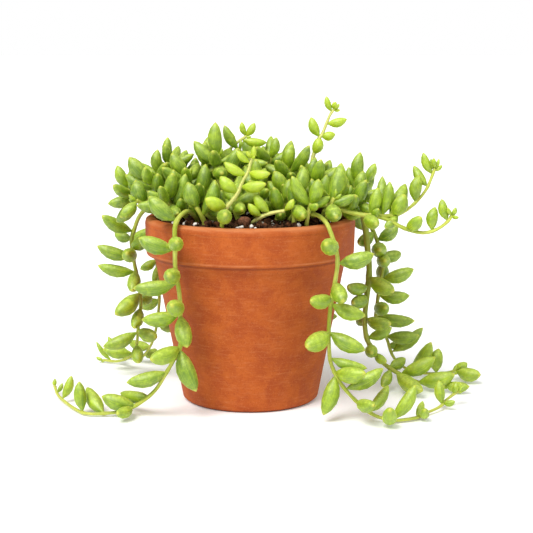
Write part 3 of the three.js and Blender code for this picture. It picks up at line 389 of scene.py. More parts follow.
def tableLeaf(route, row):
    place, x, y, z, width = row
    root = alongRoute(route, min(place, len(route) - 1 - curveShape["endGap"]))
    reach = np.array([x, y, z]) - root
    return {"root": root, "axis": unit(reach), "length": np.linalg.norm(reach), "width": width,
            "place": place}


# Leaves that no table gives, in turns round the stem
fillRule = {
    "start": 0.6, "step": 0.6, "turn": 2.4, "turnSpread": 0.8, "lean": 0.35, "lastLean": 1.2, "lift": 0.35,
    "length": 18, "lengths": (0.85, 0.25), "width": 0.37,
}


def fillCount(shoot):
    return shoot.get("fill", plantShape["tuftFill"] if shoot["node"].startswith("tuft") else 0)


def ruleLeaf(shoot, route, index, random):
    f, start, spans = fillRule, shoot.get("start", fillRule["start"]), len(route) - 1
    place = start + (spans - start) * (index + f["step"] * random()) / fillCount(shoot)
    heading = headingAt(route, place)
    sideA = riseOf(heading)
    sideB = np.cross(heading, sideA)
    turn = index * f["turn"] + f["turnSpread"] * random()
    lean = f["lastLean"] if index == shoot.get("fill", 0) - 1 else f["lean"]
    axis = heading * lean + sideA * math.cos(turn) + sideB * math.sin(turn) + np.array([0, 0, f["lift"]])
    length = f["length"] * drawIn(f["lengths"], random)
    return newLeaf(route, min(place, spans - curveShape["endGap"]), axis, length, f["width"])


def growPlant(shoots):
    space, random = {"balls": np.zeros((0, 6))}, makeRandom(plantShape["seed"])
    nodes = sorted({shoot["node"] for shoot in shoots})
    grown = [{"shoot": shoot, "route": routeOf(shoot), "number": nodes.index(shoot["node"]), "leaves": []}
             for shoot in shoots]
    for plant in grown:
        shoot, route = plant["shoot"], plant["route"]
        steps, spans = round(routeLength(route) / curveShape["ballStep"]), len(route) - 1
        balls = [[*alongRoute(route, spans * k / steps),
                  shoot["thick"] + (shoot["thin"] - shoot["thick"]) * k / steps] for k in range(steps + 1)]
        addBalls(space, np.array(balls), plant["number"], 1)
    for plant in grown:
        for row in plant["shoot"]["leaves"]:
            placeLeaf(plant, tableLeaf(plant["route"], row), space)
    for plant in grown:
        for index in range(fillCount(plant["shoot"])):
            placeLeaf(plant, ruleLeaf(plant["shoot"], plant["route"], index, random), space)
    return grown, space


# Tufts that fill the back of the pot: [angle in degrees, root radius, reach outwards, height]. Their stems
# climb by the same [share of the reach, share of the height].
backTufts = [
    [44, 41, 12, 16], [72, 42, 12, 18], [100, 42, 13, 17], [128, 43, 12, 18], [150, 36, 14, 15],
    [50, 27, 6, 22], [80, 31, 6, 24], [112, 31, 6, 24],
]
backTuftShape = {"climb": [(0.45, 0.45), (0.85, 0.75), (1, 1)], "more": {"fill": 5}}
# Stems that trail down the back: [angle in degrees, height of the tip]. Each climbs over the rim by the same
# [radius, height] points, then hangs in equal drops, swaying by up to some degrees left and right.
backTrails = [[58, 32], [86, 12], [115, 24]]
backTrailShape = {
    "root": 36, "overRim": [(46, 100), (52, 101.5), (57, 99), (59, 92)], "drops": 5, "spread": 0.4,
    "sway": 4.5, "swayStep": 2, "more": {"thick": 1.25, "thin": 0.7, "fill": 11, "start": 2.2},
}


def polarPoint(degrees, radius, z):
    return [radius * math.cos(math.radians(degrees)), radius * math.sin(math.radians(degrees)), z]


def backShoots():
    made, t = [], backTrailShape
    for number, (angle, radius, reach, height) in enumerate(backTufts, start=1):
        stem = [polarPoint(angle, radius + reach * out, soilShape["top"] + height * up)
                for out, up in backTuftShape["climb"]]
        root = polarPoint(angle, radius, 0)[:2]
        made.append(leafyStem(f"tuft_back_{number:02d}", root, stem, [], **backTuftShape["more"]))
    hangRadius, hangHeight = t["overRim"][-1]
    for number, (angle, tipHeight) in enumerate(backTrails, start=1):
        stem = [polarPoint(angle, r, z) for r, z in t["overRim"]]
        for k in range(1, t["drops"] + 1):
            sway = t["sway"] * math.sin(t["swayStep"] * (k + number - 1))
            height = hangHeight + (tipHeight - hangHeight) * k / t["drops"]
            stem.append(polarPoint(angle + sway, hangRadius + t["spread"] * (k + 1), height))
        root = polarPoint(angle, t["root"], 0)[:2]
        made.append(leafyStem(f"string_back_{number}", root, stem, [], **t["more"]))
    return made


# Small leaves low in the mound, more than the part's own. Those rooted in front of "front" only grow
# backwards, and none is rooted in front of "limit", because the soil shows there.
undergrowth = {
    "rounds": 6, "from": 0.1, "reach": 2.2, "lean": 0.5, "lift": 0.3, "length": 15, "lengths": (0.75, 0.5),
    "width": 0.4, "gap": 0.15, "shares": (1, 0.8), "front": -16, "limit": -40, "backwards": 0.45,
    "without": ["tuft_01", "tuft_02", "string_left", "string_arching"], "seed": 411,
}


def addUndergrowth(grown, space):
    u, random, added = undergrowth, makeRandom(undergrowth["seed"]), 0
    for round in range(u["rounds"]):
        for plant in grown:
            node, route = plant["shoot"]["node"], plant["route"]
            if not plant["shoot"]["root"] or node.startswith("sprout") or node in u["without"]:
                continue
            place = min(u["from"] + u["reach"] * random(), len(route) - 1 - u["from"])
            heading = headingAt(route, place)
            axis = roundHeading(heading, math.tau * random()) + heading * u["lean"]
            length = u["length"] * drawIn(u["lengths"], random)
            leaf = newLeaf(route, place, axis + [0, 0, u["lift"]], length, u["width"])
            depth, backwards = leaf["root"][1], leaf["axis"][1]
            if depth < u["limit"] or depth < u["front"] and backwards < u["backwards"]:
                continue
            added += placeLeaf(plant, leaf, space, u["gap"], u["shares"])
    return added


# A few buds at the tip of each stem, each further back and smaller than the one before
tipBuds = {
    "count": 2, "step": 0.12, "turn": 2.4, "lean": (0.3, 0.25), "length": 5.5, "lengths": (0.7, 0.4),
    "shrink": 0.15, "width": 0.42, "gap": 0.1, "shares": (1, 0.7), "without": ["sprout_low", "tuft_13"],
    "seed": 77,
}


def addTipBuds(grown, space):
    b, random = tipBuds, makeRandom(tipBuds["seed"])
    for plant in grown:
        if plant["shoot"]["node"] in b["without"]:
            continue
        route = plant["route"]
        for index in range(b["count"]):
            place = len(route) - 1.0 - b["step"] * index
            heading = headingAt(route, place)
            side = roundHeading(heading, index * b["turn"] + random())
            length = b["length"] * drawIn(b["lengths"], random) * (1 - b["shrink"] * index)
            axis = heading + side * (b["lean"][0] + b["lean"][1] * index)
            leaf = newLeaf(route, place, axis, length, b["width"], bud=True)
            placeLeaf(plant, leaf, space, b["gap"], b["shares"])


# Helpers for materials. They add nodes to the material, or the world, that was begun last.
begun = {}


def beginNodes(owner):
    owner.use_nodes = True
    begun.update(owner=owner, tree=owner.node_tree)


def setInput(socket, value):
    if isinstance(value, bpy.types.NodeSocket):
        begun["tree"].links.new(value, socket)
    else:
        socket.default_value = value


def addNode(kind, inputs=(), **settings):
    node = begun["tree"].nodes.new(kind)
    for key, value in settings.items():
        setattr(node, key, value)
    for key, value in dict(inputs).items():
        setInput(node.inputs[key], value)
    return node


def objectPlace():
    return addNode("ShaderNodeTexCoord").outputs["Object"]


def attributeOf(name):
    return addNode("ShaderNodeAttribute", attribute_name=name).outputs["Vector"]


def partsOf(vector):
    return addNode("ShaderNodeSeparateXYZ", {0: vector}).outputs[:3]


def stretched(vector, scale):
    return addNode("ShaderNodeMapping", {"Vector": vector, "Scale": scale}).outputs[0]


def noiseOf(vector, scale, detail=3, roughness=0.55, distortion=0):
    return addNode("ShaderNodeTexNoise", {
        "Vector": vector, "Scale": scale, "Detail": detail, "Roughness": roughness, "Distortion": distortion,
    }).outputs["Fac"]


def rangeOf(value, low, high, toLow=0, toHigh=1):
    return addNode("ShaderNodeMapRange", {
        "Value": value, "From Min": low, "From Max": high, "To Min": toLow, "To Max": toHigh,
    }, interpolation_type="SMOOTHSTEP").outputs["Result"]


# A pattern from one entry of a finish: "noise" is its scale, detail, roughness and distortion, and "range"
# the two values of the noise that it runs between and what it gives there, or 0 and 1
def patternOf(vector, entry):
    return rangeOf(noiseOf(vector, *entry["noise"]), *entry["range"])


# The inputs of a colour mix go by number, because several share one name
def mixOf(factor, first, second):
    return addNode("ShaderNodeMix", {0: factor, 6: first, 7: second}, data_type="RGBA").outputs[2]


def mathOf(operation, first, second=0):
    return addNode("ShaderNodeMath", {0: first, 1: second}, operation=operation).outputs[0]


def timesOf(first, second):
    return mathOf("MULTIPLY", first, second)


def finishNodes(colour, roughness, relief, settings):
    shader, (strength, distance) = begun["tree"].nodes["Principled BSDF"], settings["bump"]
    bump = addNode("ShaderNodeBump", {"Height": relief, "Strength": strength, "Distance": distance})
    made = {"Base Color": colour, "Roughness": roughness, "Normal": bump.outputs[0]}
    for name, value in (made | settings["sockets"]).items():
        setInput(shader.inputs[name], value)
    return begun["owner"]


# A leaf carries leafPlace (rise side, cross side, share along) and leafNature (tone, youth, 0)
# Each kind of leaf has a deep, a bright and a young green
leafFinishes = {
    "moundLeaf": ((0.055, 0.16, 0.002, 1), (0.21, 0.37, 0.005, 1), (0.38, 0.5, 0.01, 1)),
    "stringLeaf": ((0.12, 0.235, 0.002, 1), (0.26, 0.41, 0.005, 1), (0.46, 0.56, 0.01, 1)),
    "sproutLeaf": ((0.26, 0.42, 0.005, 1), (0.5, 0.63, 0.01, 1), (0.56, 0.64, 0.03, 1)),
}
leafSkin = {
    "pale": (0.66, 0.87, 0.025, 1), "paleShare": 0.55,
    "lines": {"noise": (10, 3, 0.7), "range": (0.44, 0.66), "scale": (1, 1, 0.12), "strength": 0.7,
              "relief": 0.6},
    "window": {"side": (0.08, 0.3, 1, 0), "rise": (0.1, 0.5), "strength": 0.45},
    "mottle": {"noise": (520, 5, 0.7), "range": (0.42, 0.64), "strength": 0.5},
    "shade": {"noise": (240, 4, 0.65), "range": (0.38, 0.62, 0.46, 0)},
    # painted highlight: a pale colour laid on the sides of the leaves that face up, towards the lights
    "paintedHighlight": {"colour": (0.68, 0.81, 0.15, 1), "upwards": (0.1, 0.9), "strength": (0, 1, 0.3, 0.6)},
    "ends": {"colour": (0.6, 0.6, 0.06, 1), "tip": (0.9, 1, 0, 0.85), "stalk": (0, 0.1, 0.5, 0)},
    "gloss": {"noise": (700, 3), "range": (0.3, 0.7, 0.4, 0.54)},
    "grain": 1500, "bump": (0.22, 0.0003),
    "sockets": {
        "Subsurface Weight": 0.35, "Subsurface Radius": (0.7, 1, 0.15), "Subsurface Scale": 0.0025,
        "Specular IOR Level": 0.9, "Sheen Weight": 1, "Sheen Roughness": 0.2,
        "Sheen Tint": (0.9, 1, 0.15, 1),
    },
}


def makeLeafMaterial(name, deep, bright, young):
    s = leafSkin
    beginNodes(bpy.data.materials.new(name))
    where, place = objectPlace(), attributeOf("leafPlace")
    rise, cross, along = partsOf(place)
    tone, youth = partsOf(attributeOf("leafNature"))[:2]
    colour = mixOf(youth, mixOf(tone, deep, bright), young)
    pale = mixOf(s["paleShare"], colour, s["pale"])
    # pale lines from stalk to tip, the clear window along the upper side, mottling and darker patches
    lines = patternOf(stretched(place, s["lines"]["scale"]), s["lines"])
    side = rangeOf(mathOf("ABSOLUTE", cross), *s["window"]["side"])
    window = timesOf(side, rangeOf(rise, *s["window"]["rise"]))
    mottle = patternOf(where, s["mottle"])
    for factor, entry, tint in ((lines, "lines", pale), (window, "window", deep), (mottle, "mottle", pale)):
        colour = mixOf(timesOf(factor, s[entry]["strength"]), colour, tint)
    colour = mixOf(patternOf(where, s["shade"]), colour, deep)
    # a painted highlight, paler where the leaf faces the sky, and the yellowed stalk and tip
    upwards = partsOf(addNode("ShaderNodeNewGeometry").outputs["Normal"])[2]
    paintedHighlight = timesOf(rangeOf(upwards, *s["paintedHighlight"]["upwards"]), rangeOf(mottle, *s["paintedHighlight"]["strength"]))
    colour = mixOf(paintedHighlight, colour, s["paintedHighlight"]["colour"])
    ends = mathOf("MAXIMUM", rangeOf(along, *s["ends"]["tip"]), rangeOf(along, *s["ends"]["stalk"]))
    colour = mixOf(ends, colour, s["ends"]["colour"])
    relief = mathOf("ADD", noiseOf(where, s["grain"]), timesOf(lines, s["lines"]["relief"]))
    return finishNodes(colour, patternOf(where, s["gloss"]), relief, s)


# A stem carries leafPlace, which points outwards from its middle, and leafNature (age, share along, youth)
stemSkin = {
    "deep": (0.4, 0.5, 0.04, 1), "light": (0.62, 0.68, 0.12, 1),
    "patches": {"noise": (90, 3), "range": (0.35, 0.65)},
    "tip": {"colour": (0.66, 0.7, 0.12, 1), "range": (0.4, 1, 0, 0.8)},
    "young": {"colour": (0.86, 0.84, 0.3, 1), "strength": 0.7},
    "old": {"colour": (0.15, 0.19, 0.012, 1), "strength": 0.65},
    "ridges": {"colour": (0.24, 0.26, 0.03, 1), "noise": (2.6, 2), "range": (0.42, 0.58), "strength": 0.4},
    "flecks": {"colour": (0.28, 0.18, 0.04, 1), "noise": (1100, 3), "range": (0.56, 0.7), "strength": 0.28},
    "roughness": (0, 1, 0.45, 0.65), "bump": (0.3, 0.0003),
    "sockets": {"Specular IOR Level": 0.3, "Subsurface Weight": 0.08, "Subsurface Scale": 0.001},
}


def makeStemMaterial():
    s = stemSkin
    beginNodes(bpy.data.materials.new("stemSkin"))
    where = objectPlace()
    age, along, youth = partsOf(attributeOf("leafNature"))
    colour = mixOf(patternOf(where, s["patches"]), s["deep"], s["light"])
    colour = mixOf(rangeOf(along, *s["tip"]["range"]), colour, s["tip"]["colour"])
    ridges = patternOf(attributeOf("leafPlace"), s["ridges"])
    flecks = patternOf(where, s["flecks"])
    for factor, entry in ((youth, "young"), (age, "old"), (ridges, "ridges"), (flecks, "flecks")):
        colour = mixOf(timesOf(factor, s[entry]["strength"]), colour, s[entry]["colour"])
    relief = mathOf("SUBTRACT", flecks, ridges)
    return finishNodes(colour, rangeOf(flecks, *s["roughness"]), relief, s)


# Crumbly finishes with one pattern: light and dark, grains a metre, roughness, depth of relief in metres
grainFinishes = {
    "nodeScar": ((0.3, 0.2, 0.09, 1), (0.12, 0.07, 0.03, 1), 900, 0.8, 0.0003),
    "darkSoil": ((0.13, 0.055, 0.023, 1), (0.016, 0.008, 0.004, 1), 420, 0.95, 0.0008),
    "brownCrumb": ((0.15, 0.058, 0.024, 1), (0.018, 0.008, 0.004, 1), 500, 0.95, 0.0008),
    "perlite": ((0.95, 0.94, 0.9, 1), (0.78, 0.72, 0.62, 1), 900, 0.85, 0.0004),
    "barkChip": ((0.3, 0.12, 0.06, 1), (0.05, 0.022, 0.01, 1), 500, 0.85, 0.0006),
}
grainPattern = {
    "coarse": (5, 0.6), "coarseRange": (0.35, 0.68), "fine": (4, 0.65), "fineScale": 5,
    "fineRange": (0.5, 0.75), "fineStrength": 0.4, "fineRelief": 0.6, "roughRange": (0.3, 0.7),
    "roughSpread": 0.1, "bump": 0.6, "sockets": {"Specular IOR Level": 0.15},
}


def makeGrainMaterial(name, light, dark, grains, rough, depth):
    g = grainPattern
    beginNodes(bpy.data.materials.new(name))
    where = objectPlace()
    coarse = rangeOf(noiseOf(where, grains, *g["coarse"]), *g["coarseRange"])
    fine = noiseOf(where, grains * g["fineScale"], *g["fine"])
    flecks = timesOf(rangeOf(fine, *g["fineRange"]), g["fineStrength"])
    colour = mixOf(flecks, mixOf(coarse, dark, light), light)
    relief = mathOf("ADD", coarse, timesOf(fine, g["fineRelief"]))
    roughness = rangeOf(fine, *g["roughRange"], rough - g["roughSpread"], rough)
    return finishNodes(colour, roughness, relief, g | {"bump": (g["bump"], depth)})


# Fired clay: small blotches, level streaks, grain with dark specks, and a few scratches. Its level bands are
# [level, up from it, reach, strength]: a paler lip, partly rubbed clay and partly painted highlight, a
# painted highlight line just above the band's lower edge, painted shade under the band and the lip, and a
# painted contact shadow at the base.
clayFinish = {
    "deep": (0.37, 0.064, 0.009, 1), "warm": (0.5, 0.112, 0.018, 1), "pale": (0.62, 0.22, 0.08, 1),
    "dark": (0.15, 0.026, 0.008, 1), "blotches": {"noise": (95, 6, 0.65, 0.3), "range": (0.3, 0.7)},
    "flatten": (0.14, 0.14, 1), "streaks": (900, 4, 0.65), "paleStreaks": (0.5, 0.74, 0, 0.3),
    "deepStreaks": (0.46, 0.28, 0, 0.4), "streakRelief": 0.7, "grain": (1300, 4, 0.7),
    "paleGrain": (0.53, 0.7, 0, 0.35), "darkSpecks": (0.41, 0.27, 0, 0.75), "grainRelief": 0.5,
    "scratches": (210, 2, 0.5, 2.5), "scratchMiddle": 0.5, "scratchWidth": (0, 0.007, 0.5, 0),
    "worn": {"noise": (60, 3), "range": (0.5, 0.62)},
    "ragged": {"noise": (420, 3), "range": (0.36, 0.6, 0.15, 1)},
    # the lip band is partly paler rubbed clay and partly painted highlight; the band-edge line is a painted
    # highlight
    "rubbedAndHighlit": [("top", -0.4, 2.6, 0.75), ("foot", 0.7, 0.9, 0.6)],
    # painted shade under the band's edge and under the lip, and a painted contact shadow at the base
    "paintedShade": [("foot", -1.2, 1.4, 0.55), ("top", -3.9, 0.6, 0.16), ("base", 0, 1.6, 0.8)],
    "roughness": (0, 1, 0.62, 0.78), "bump": (0.4, 0.0006), "sockets": {"Specular IOR Level": 0.2},
}
potLevels = {"top": potHeight, "foot": bandFoot, "base": 0}


def levelBands(height, bands):
    found = 0
    for level, above, reach, strength in bands:
        away = mathOf("SUBTRACT", height, (potLevels[level] + above) * mm)
        band = rangeOf(mathOf("ABSOLUTE", away), 0, reach * mm, strength, 0)
        found = mathOf("MAXIMUM", found, band)
    return found


def makeClayMaterial():
    c = clayFinish
    beginNodes(bpy.data.materials.new("firedClay"))
    where = objectPlace()
    height = partsOf(where)[2]
    flat = stretched(where, c["flatten"])
    blotches = patternOf(where, c["blotches"])
    colour = mixOf(blotches, c["deep"], c["warm"])
    streaks, grain = noiseOf(flat, *c["streaks"]), noiseOf(where, *c["grain"])
    for pattern, found, tint in ((streaks, "paleStreaks", "pale"), (streaks, "deepStreaks", "deep"),
                                 (grain, "paleGrain", "pale"), (grain, "darkSpecks", "dark")):
        colour = mixOf(rangeOf(pattern, *c[found]), colour, c[tint])
    bend = mathOf("SUBTRACT", noiseOf(where, *c["scratches"]), c["scratchMiddle"])
    scratch = rangeOf(mathOf("ABSOLUTE", bend), *c["scratchWidth"])
    colour = mixOf(timesOf(scratch, patternOf(where, c["worn"])), colour, c["pale"])
    # painted highlight on the lip and along the band's lower edge, partly over paler rubbed clay at the lip
    rubbedAndHighlit = timesOf(levelBands(height, c["rubbedAndHighlit"]), patternOf(flat, c["ragged"]))
    colour = mixOf(rubbedAndHighlit, colour, c["pale"])
    # painted shade under the band and the lip, and a painted contact shadow where the pot meets the floor
    colour = mixOf(levelBands(height, c["paintedShade"]), colour, c["dark"])
    relief = mathOf("ADD", timesOf(streaks, c["streakRelief"]), timesOf(grain, c["grainRelief"]))
    return finishNodes(colour, rangeOf(blotches, *c["roughness"]), relief, c)


finishes = {name: makeLeafMaterial(name, *greens) for name, greens in leafFinishes.items()}
finishes |= {name: makeGrainMaterial(name, *grain) for name, grain in grainFinishes.items()}
finishes |= {"stemSkin": makeStemMaterial(), "firedClay": makeClayMaterial()}
print("finishes made")


# Modelling helpers. Lengths below "nearly" count as none.
nearly = 0.001


def deselectAll():
    for item in bpy.context.selected_objects:
        item.select_set(False)


def activate(item):
    deselectAll()
    item.select_set(True)
    bpy.context.view_layer.objects.active = item


def editMode(on):
    bpy.ops.object.mode_set(mode="EDIT" if on else "OBJECT")


def selectVertices(item, wanted):
    bpy.context.tool_settings.mesh_select_mode = (True, False, False)
    editMode(True)
    bpy.ops.mesh.select_all(action="DESELECT")
    editMode(False)
    for vertex in item.data.vertices:
        vertex.select = wanted(vertex.co)
    editMode(True)


# Smooth all over, or only over edges that bend less than some degrees
def shadeSmooth(item, degrees=None):
    activate(item)
    if degrees is None:
        bpy.ops.object.shade_smooth()
    else:
        bpy.ops.object.shade_smooth_by_angle(angle=math.radians(degrees))


def joinPieces(pieces, name):
    activate(pieces[0])
    for piece in pieces:
        piece.select_set(True)
    bpy.ops.object.join()
    pieces[0].name = pieces[0].data.name = name
    return pieces[0]


def readPoints(mesh):
    flat = np.empty(len(mesh.vertices) * 3)
    mesh.vertices.foreach_get("co", flat)
    return flat.reshape(-1, 3)


def writePoints(mesh, points):
    mesh.vertices.foreach_set("co", np.asarray(points, float).ravel())
    mesh.update()


def setVectors(mesh, name, rows):
    layer = mesh.attributes.new(name, "FLOAT_VECTOR", "POINT")
    layer.data.foreach_set("vector", np.asarray(rows, float).ravel())


def linkedObject(name, data):
    item = bpy.data.objects.new(name, data)
    scene.collection.objects.link(item)
    return item


def dropMaster(master):
    bpy.data.objects.remove(master, do_unlink=True)


# Moves a finished piece into the frame's metres, hangs it on the root and hides the part that it replaces
def placePiece(piece, node=None):
    writePoints(piece.data, [toScene(point) for point in readPoints(piece.data)])
    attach(piece, "root")
    if node:
        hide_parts(node)


def finishPiece(piece, finish, node=None, smoothTo=None):
    shadeSmooth(piece, smoothTo)
    if not piece.data.materials:
        piece.data.materials.append(finishes[finish])
    placePiece(piece, node)


# One leaf: a ball whose rings are drawn in to a stalk at one end and a point at the other, each ring by
# [share along, share of half the width]. Finished rings wait "lift" above those still to do.
leafShape = {
    "sides": 12, "bands": 8, "lift": 10, "digits": 4, "leastRing": 0.01,
    "rings": [(0.045, 0.11), (0.13, 0.38), (0.28, 0.8), (0.46, 1.0), (0.66, 0.95), (0.84, 0.66),
              (0.95, 0.27)],
}


def makeLeafMaster():
    s = leafShape
    deselectAll()
    bpy.ops.mesh.primitive_uv_sphere_add(segments=s["sides"], ring_count=s["bands"], radius=1)
    leaf = bpy.context.object
    levels = sorted({round(v.co.z, s["digits"]) for v in leaf.data.vertices})
    targets = [(0, 0)] + s["rings"] + [(1, 0)]
    for z, (along, radius) in reversed(list(zip(levels, targets))):
        selectVertices(leaf, lambda co: abs(co.z - z) < nearly)
        ring = math.sqrt(max(1 - z * z, 0))
        grow = radius / ring if ring > s["leastRing"] else 1
        bpy.ops.transform.resize(value=(grow, grow, 1), center_override=(0, 0, z))
        bpy.ops.transform.translate(value=(0, 0, along + s["lift"] - z))
        editMode(False)
    writePoints(leaf.data, readPoints(leaf.data) - [0, 0, s["lift"]])
    shadeSmooth(leaf)
    return leaf


def makeLeaf(master, leaf, nature, material):
    item = linkedObject("leaf", master.data.copy())
    shape = readPoints(item.data)
    across = np.cross(leaf["axis"], leaf["rise"])
    half = leaf["width"] / 2
    points = leafSpine(leaf, shape[:, 2]) + shape[:, :1] * half * leaf["rise"]
    writePoints(item.data, points + shape[:, 1:2] * half * across)
    size = np.maximum(np.hypot(shape[:, 0], shape[:, 1]), nearly)[:, None]
    setVectors(item.data, "leafPlace", np.column_stack([shape[:, :2] / size, shape[:, 2]]))
    setVectors(item.data, "leafNature", np.tile(nature, (len(shape), 1)))
    item.data.materials.append(material)
    return item


# Stems: tubes along the routes, thicker where a leaf grows, and darker near the root where "age" says so
stemShape = {
    "step": 2.5, "leastSteps": 4, "roundness": 2, "joint": 0.22, "jointReach": 1.4, "sunk": 4,
    "ageFade": 0.6,
    "age": {"string_right": 1, "string_right_back": 0.7, "string_left": 0.4, "string_left_back": 0.5},
}


def makeTube(name, points, radii):
    curve = bpy.data.curves.new(name, "CURVE")
    curve.dimensions = "3D"
    curve.bevel_depth = 1
    curve.bevel_resolution = stemShape["roundness"]
    curve.use_fill_caps = True
    line = curve.splines.new("POLY")
    line.points.add(len(points) - 1)
    for spot, point, radius in zip(line.points, points, radii):
        spot.co = (*point, 1)
        spot.radius = radius
    activate(linkedObject(name, curve))
    bpy.ops.object.convert(target="MESH")
    tube = bpy.context.object
    tube.data.materials.clear()
    return tube


def makeStem(plant):
    s, route, shoot = stemShape, plant["route"], plant["shoot"]
    count, spans = max(s["leastSteps"], round(routeLength(route) / s["step"])), len(route) - 1
    places = [spans * k / count for k in range(count + 1)]
    points = [alongRoute(route, place) for place in places]
    radii = [shoot["thick"] + (shoot["thin"] - shoot["thick"]) * place / spans for place in places]
    joints = np.array([leaf["root"] for leaf in plant["leaves"]])
    for k, point in enumerate(points):
        near = np.linalg.norm(joints - point, axis=1).min()
        radii[k] *= 1 + s["joint"] * math.exp(-(near / s["jointReach"]) ** 2)
    if shoot["root"]:
        points.insert(0, points[0] - [0, 0, s["sunk"] + plantShape["stemStart"]])
        radii.insert(0, radii[0])
    item = makeTube("stem", points, radii)
    item.data.materials.append(finishes["stemSkin"])
    corners, centres = readPoints(item.data), np.array(points)
    nearest = np.linalg.norm(corners[:, None] - centres[None], axis=2).argmin(axis=1)
    outwards = corners - centres[nearest]
    away = np.maximum(np.linalg.norm(outwards, axis=1), nearly)[:, None]
    setVectors(item.data, "leafPlace", outwards / away)
    along = nearest / (len(points) - 1)
    age, youth = s["age"].get(shoot["node"], 0), float(shoot["node"].startswith("sprout"))
    setVectors(item.data, "leafNature", np.column_stack([
        age * (1 - s["ageFade"] * along), along, np.full(len(along), youth),
    ]))
    shadeSmooth(item)
    return item


# A dry brown scar on the stem beside each leaf's root. Its place is in radii of the stem: how far out from
# the stem's middle, and how far back from the root. "grow" is its size for no radius, and more a millimetre.
scarShape = {"size": (0.55, 0.55, 0.3), "out": 0.75, "back": 1.1, "grow": (0.6, 0.5)}


def makeScar(master, plant, leaf):
    s, route, shoot = scarShape, plant["route"], plant["shoot"]
    item = linkedObject("scar", master.data.copy())
    heading = headingAt(route, leaf["place"])
    out = unit(leaf["axis"] - heading * (leaf["axis"] @ heading))
    aside = np.cross(heading, out)
    share = leaf["place"] / (len(route) - 1)
    radius = shoot["thick"] + (shoot["thin"] - shoot["thick"]) * min(share, 1)
    centre = leaf["root"] + out * radius * s["out"] - heading * s["back"] * radius
    shape = readPoints(item.data) * s["size"] * (s["grow"][0] + s["grow"][1] * radius)
    writePoints(item.data, centre + shape[:, :1] * heading + shape[:, 1:2] * aside + shape[:, 2:] * out)
    item.data.materials.append(finishes["nodeScar"])
    return item


# How young a leaf looks: more so towards its stem's tip, by a power of its place, and most in a bud. The
# seed gives each leaf's tone as well.
leafYouth = {"bud": 0.75, "tip": 0.45, "power": 3, "spread": 0.15, "seed": 31}


def leafKind(node):
    if node.startswith("sprout"):
        return "sproutLeaf"
    return "stringLeaf" if node.startswith("string") else "moundLeaf"


def makeLeafyPiece(node, plants, leafMaster, scarMaster, random):
    y, parts = leafYouth, []
    for plant in plants:
        parts.append(makeStem(plant))
        spans = len(plant["route"]) - 1
        for leaf in plant["leaves"]:
            youth = y["bud"] if leaf.get("bud") else y["tip"] * (leaf["place"] / spans) ** y["power"]
            nature = (random.random(), youth + y["spread"] * random.random(), 0)
            parts.append(makeLeaf(leafMaster, leaf, nature, finishes[leafKind(node)]))
            if node.startswith("string") and not leaf.get("bud"):
                parts.append(makeScar(scarMaster, plant, leaf))
    piece = joinPieces(parts, f"{node}_foliage")
    placePiece(piece, node)


# Turned pieces: a ring drawn up, out and in along a section
def makeTurned(name, section, steps, closed):
    deselectAll()
    radius, height = section[0]
    bpy.ops.mesh.primitive_circle_add(vertices=steps, radius=radius, location=(0, 0, 0))
    item = bpy.context.object
    writePoints(item.data, readPoints(item.data) + [0, 0, height])
    bpy.context.tool_settings.mesh_select_mode = (False, True, False)
    editMode(True)
    bpy.ops.mesh.select_all(action="SELECT")
    for nextRadius, nextHeight in section[1:]:
        bpy.ops.mesh.extrude_edges_move()
        grow = nextRadius / radius
        bpy.ops.transform.resize(value=(grow, grow, 1), center_override=(0, 0, height))
        bpy.ops.transform.translate(value=(0, 0, nextHeight - height))
        radius, height = nextRadius, nextHeight
    if closed:
        bpy.ops.mesh.select_all(action="DESELECT")
        bpy.ops.mesh.select_non_manifold()
        bpy.ops.mesh.bridge_edge_loops()
    else:
        bpy.ops.mesh.edge_face_add()
        editMode(False)
        selectVertices(item, lambda co: abs(co.z - section[0][1]) < nearly)
        bpy.ops.mesh.edge_face_add()
    bpy.ops.mesh.select_all(action="SELECT")
    bpy.ops.mesh.normals_make_consistent(inside=False)
    editMode(False)
    item.name = item.data.name = name
    return item


def potSection():
    p, top, lip, inner = potShape, potHeight, potShape["lip"], rimRadius - potShape["wall"]
    lipFoot = top - lip * p["lipStart"]
    (outerIn, outerDown), (innerOut, innerDown) = p["lipOuter"], p["lipInner"]
    return [
        (p["drainRadius"], 0), (p["baseRadius"] - p["footRound"], 0),
        (p["baseRadius"], p["footRound"] * p["footRise"]),
        (rimRadius - p["overhang"], bandFoot - p["bandStep"]),
        *[(rimRadius - inwards, bandFoot + up) for inwards, up in p["bandEdge"]],
        (rimRadius, lipFoot), (rimRadius - lip * outerIn, top - lip * outerDown), (rimRadius - lip, top),
        (inner + lip, top), (inner + lip * innerOut, top - lip * innerDown), (inner, lipFoot),
        (inner - p["innerTaper"], bandFoot), (innerFoot, p["floor"]), (p["drainRadius"], p["floor"]),
    ]


def makePot():
    pot = makeTurned("clayPot", potSection(), potShape["steps"], True)
    activate(pot)
    rounding = pot.modifiers.new("roundedEdges", "BEVEL")
    rounding.width, rounding.segments = potShape["bevel"], potShape["bevelSteps"]
    rounding.limit_method, rounding.angle_limit = "ANGLE", math.radians(potShape["bevelFrom"])
    bpy.ops.object.modifier_apply(modifier=rounding.name)
    finishPiece(pot, "firedClay", "pot", potShape["smoothTo"])


# The soil: rings across its top that two sizes of waves lift, except at its edge
soilDetail = {
    "steps": 132, "ring": 1.15, "edgeTaper": 1.5, "edgeDrop": 0.6, "edgeReach": 0.7,
    "wave": 0.6, "waveScale": 0.28, "fineWave": 0.7, "fineScale": 3.1,
}
soilRadius = rimRadius - potShape["wall"] - soilShape["gap"]


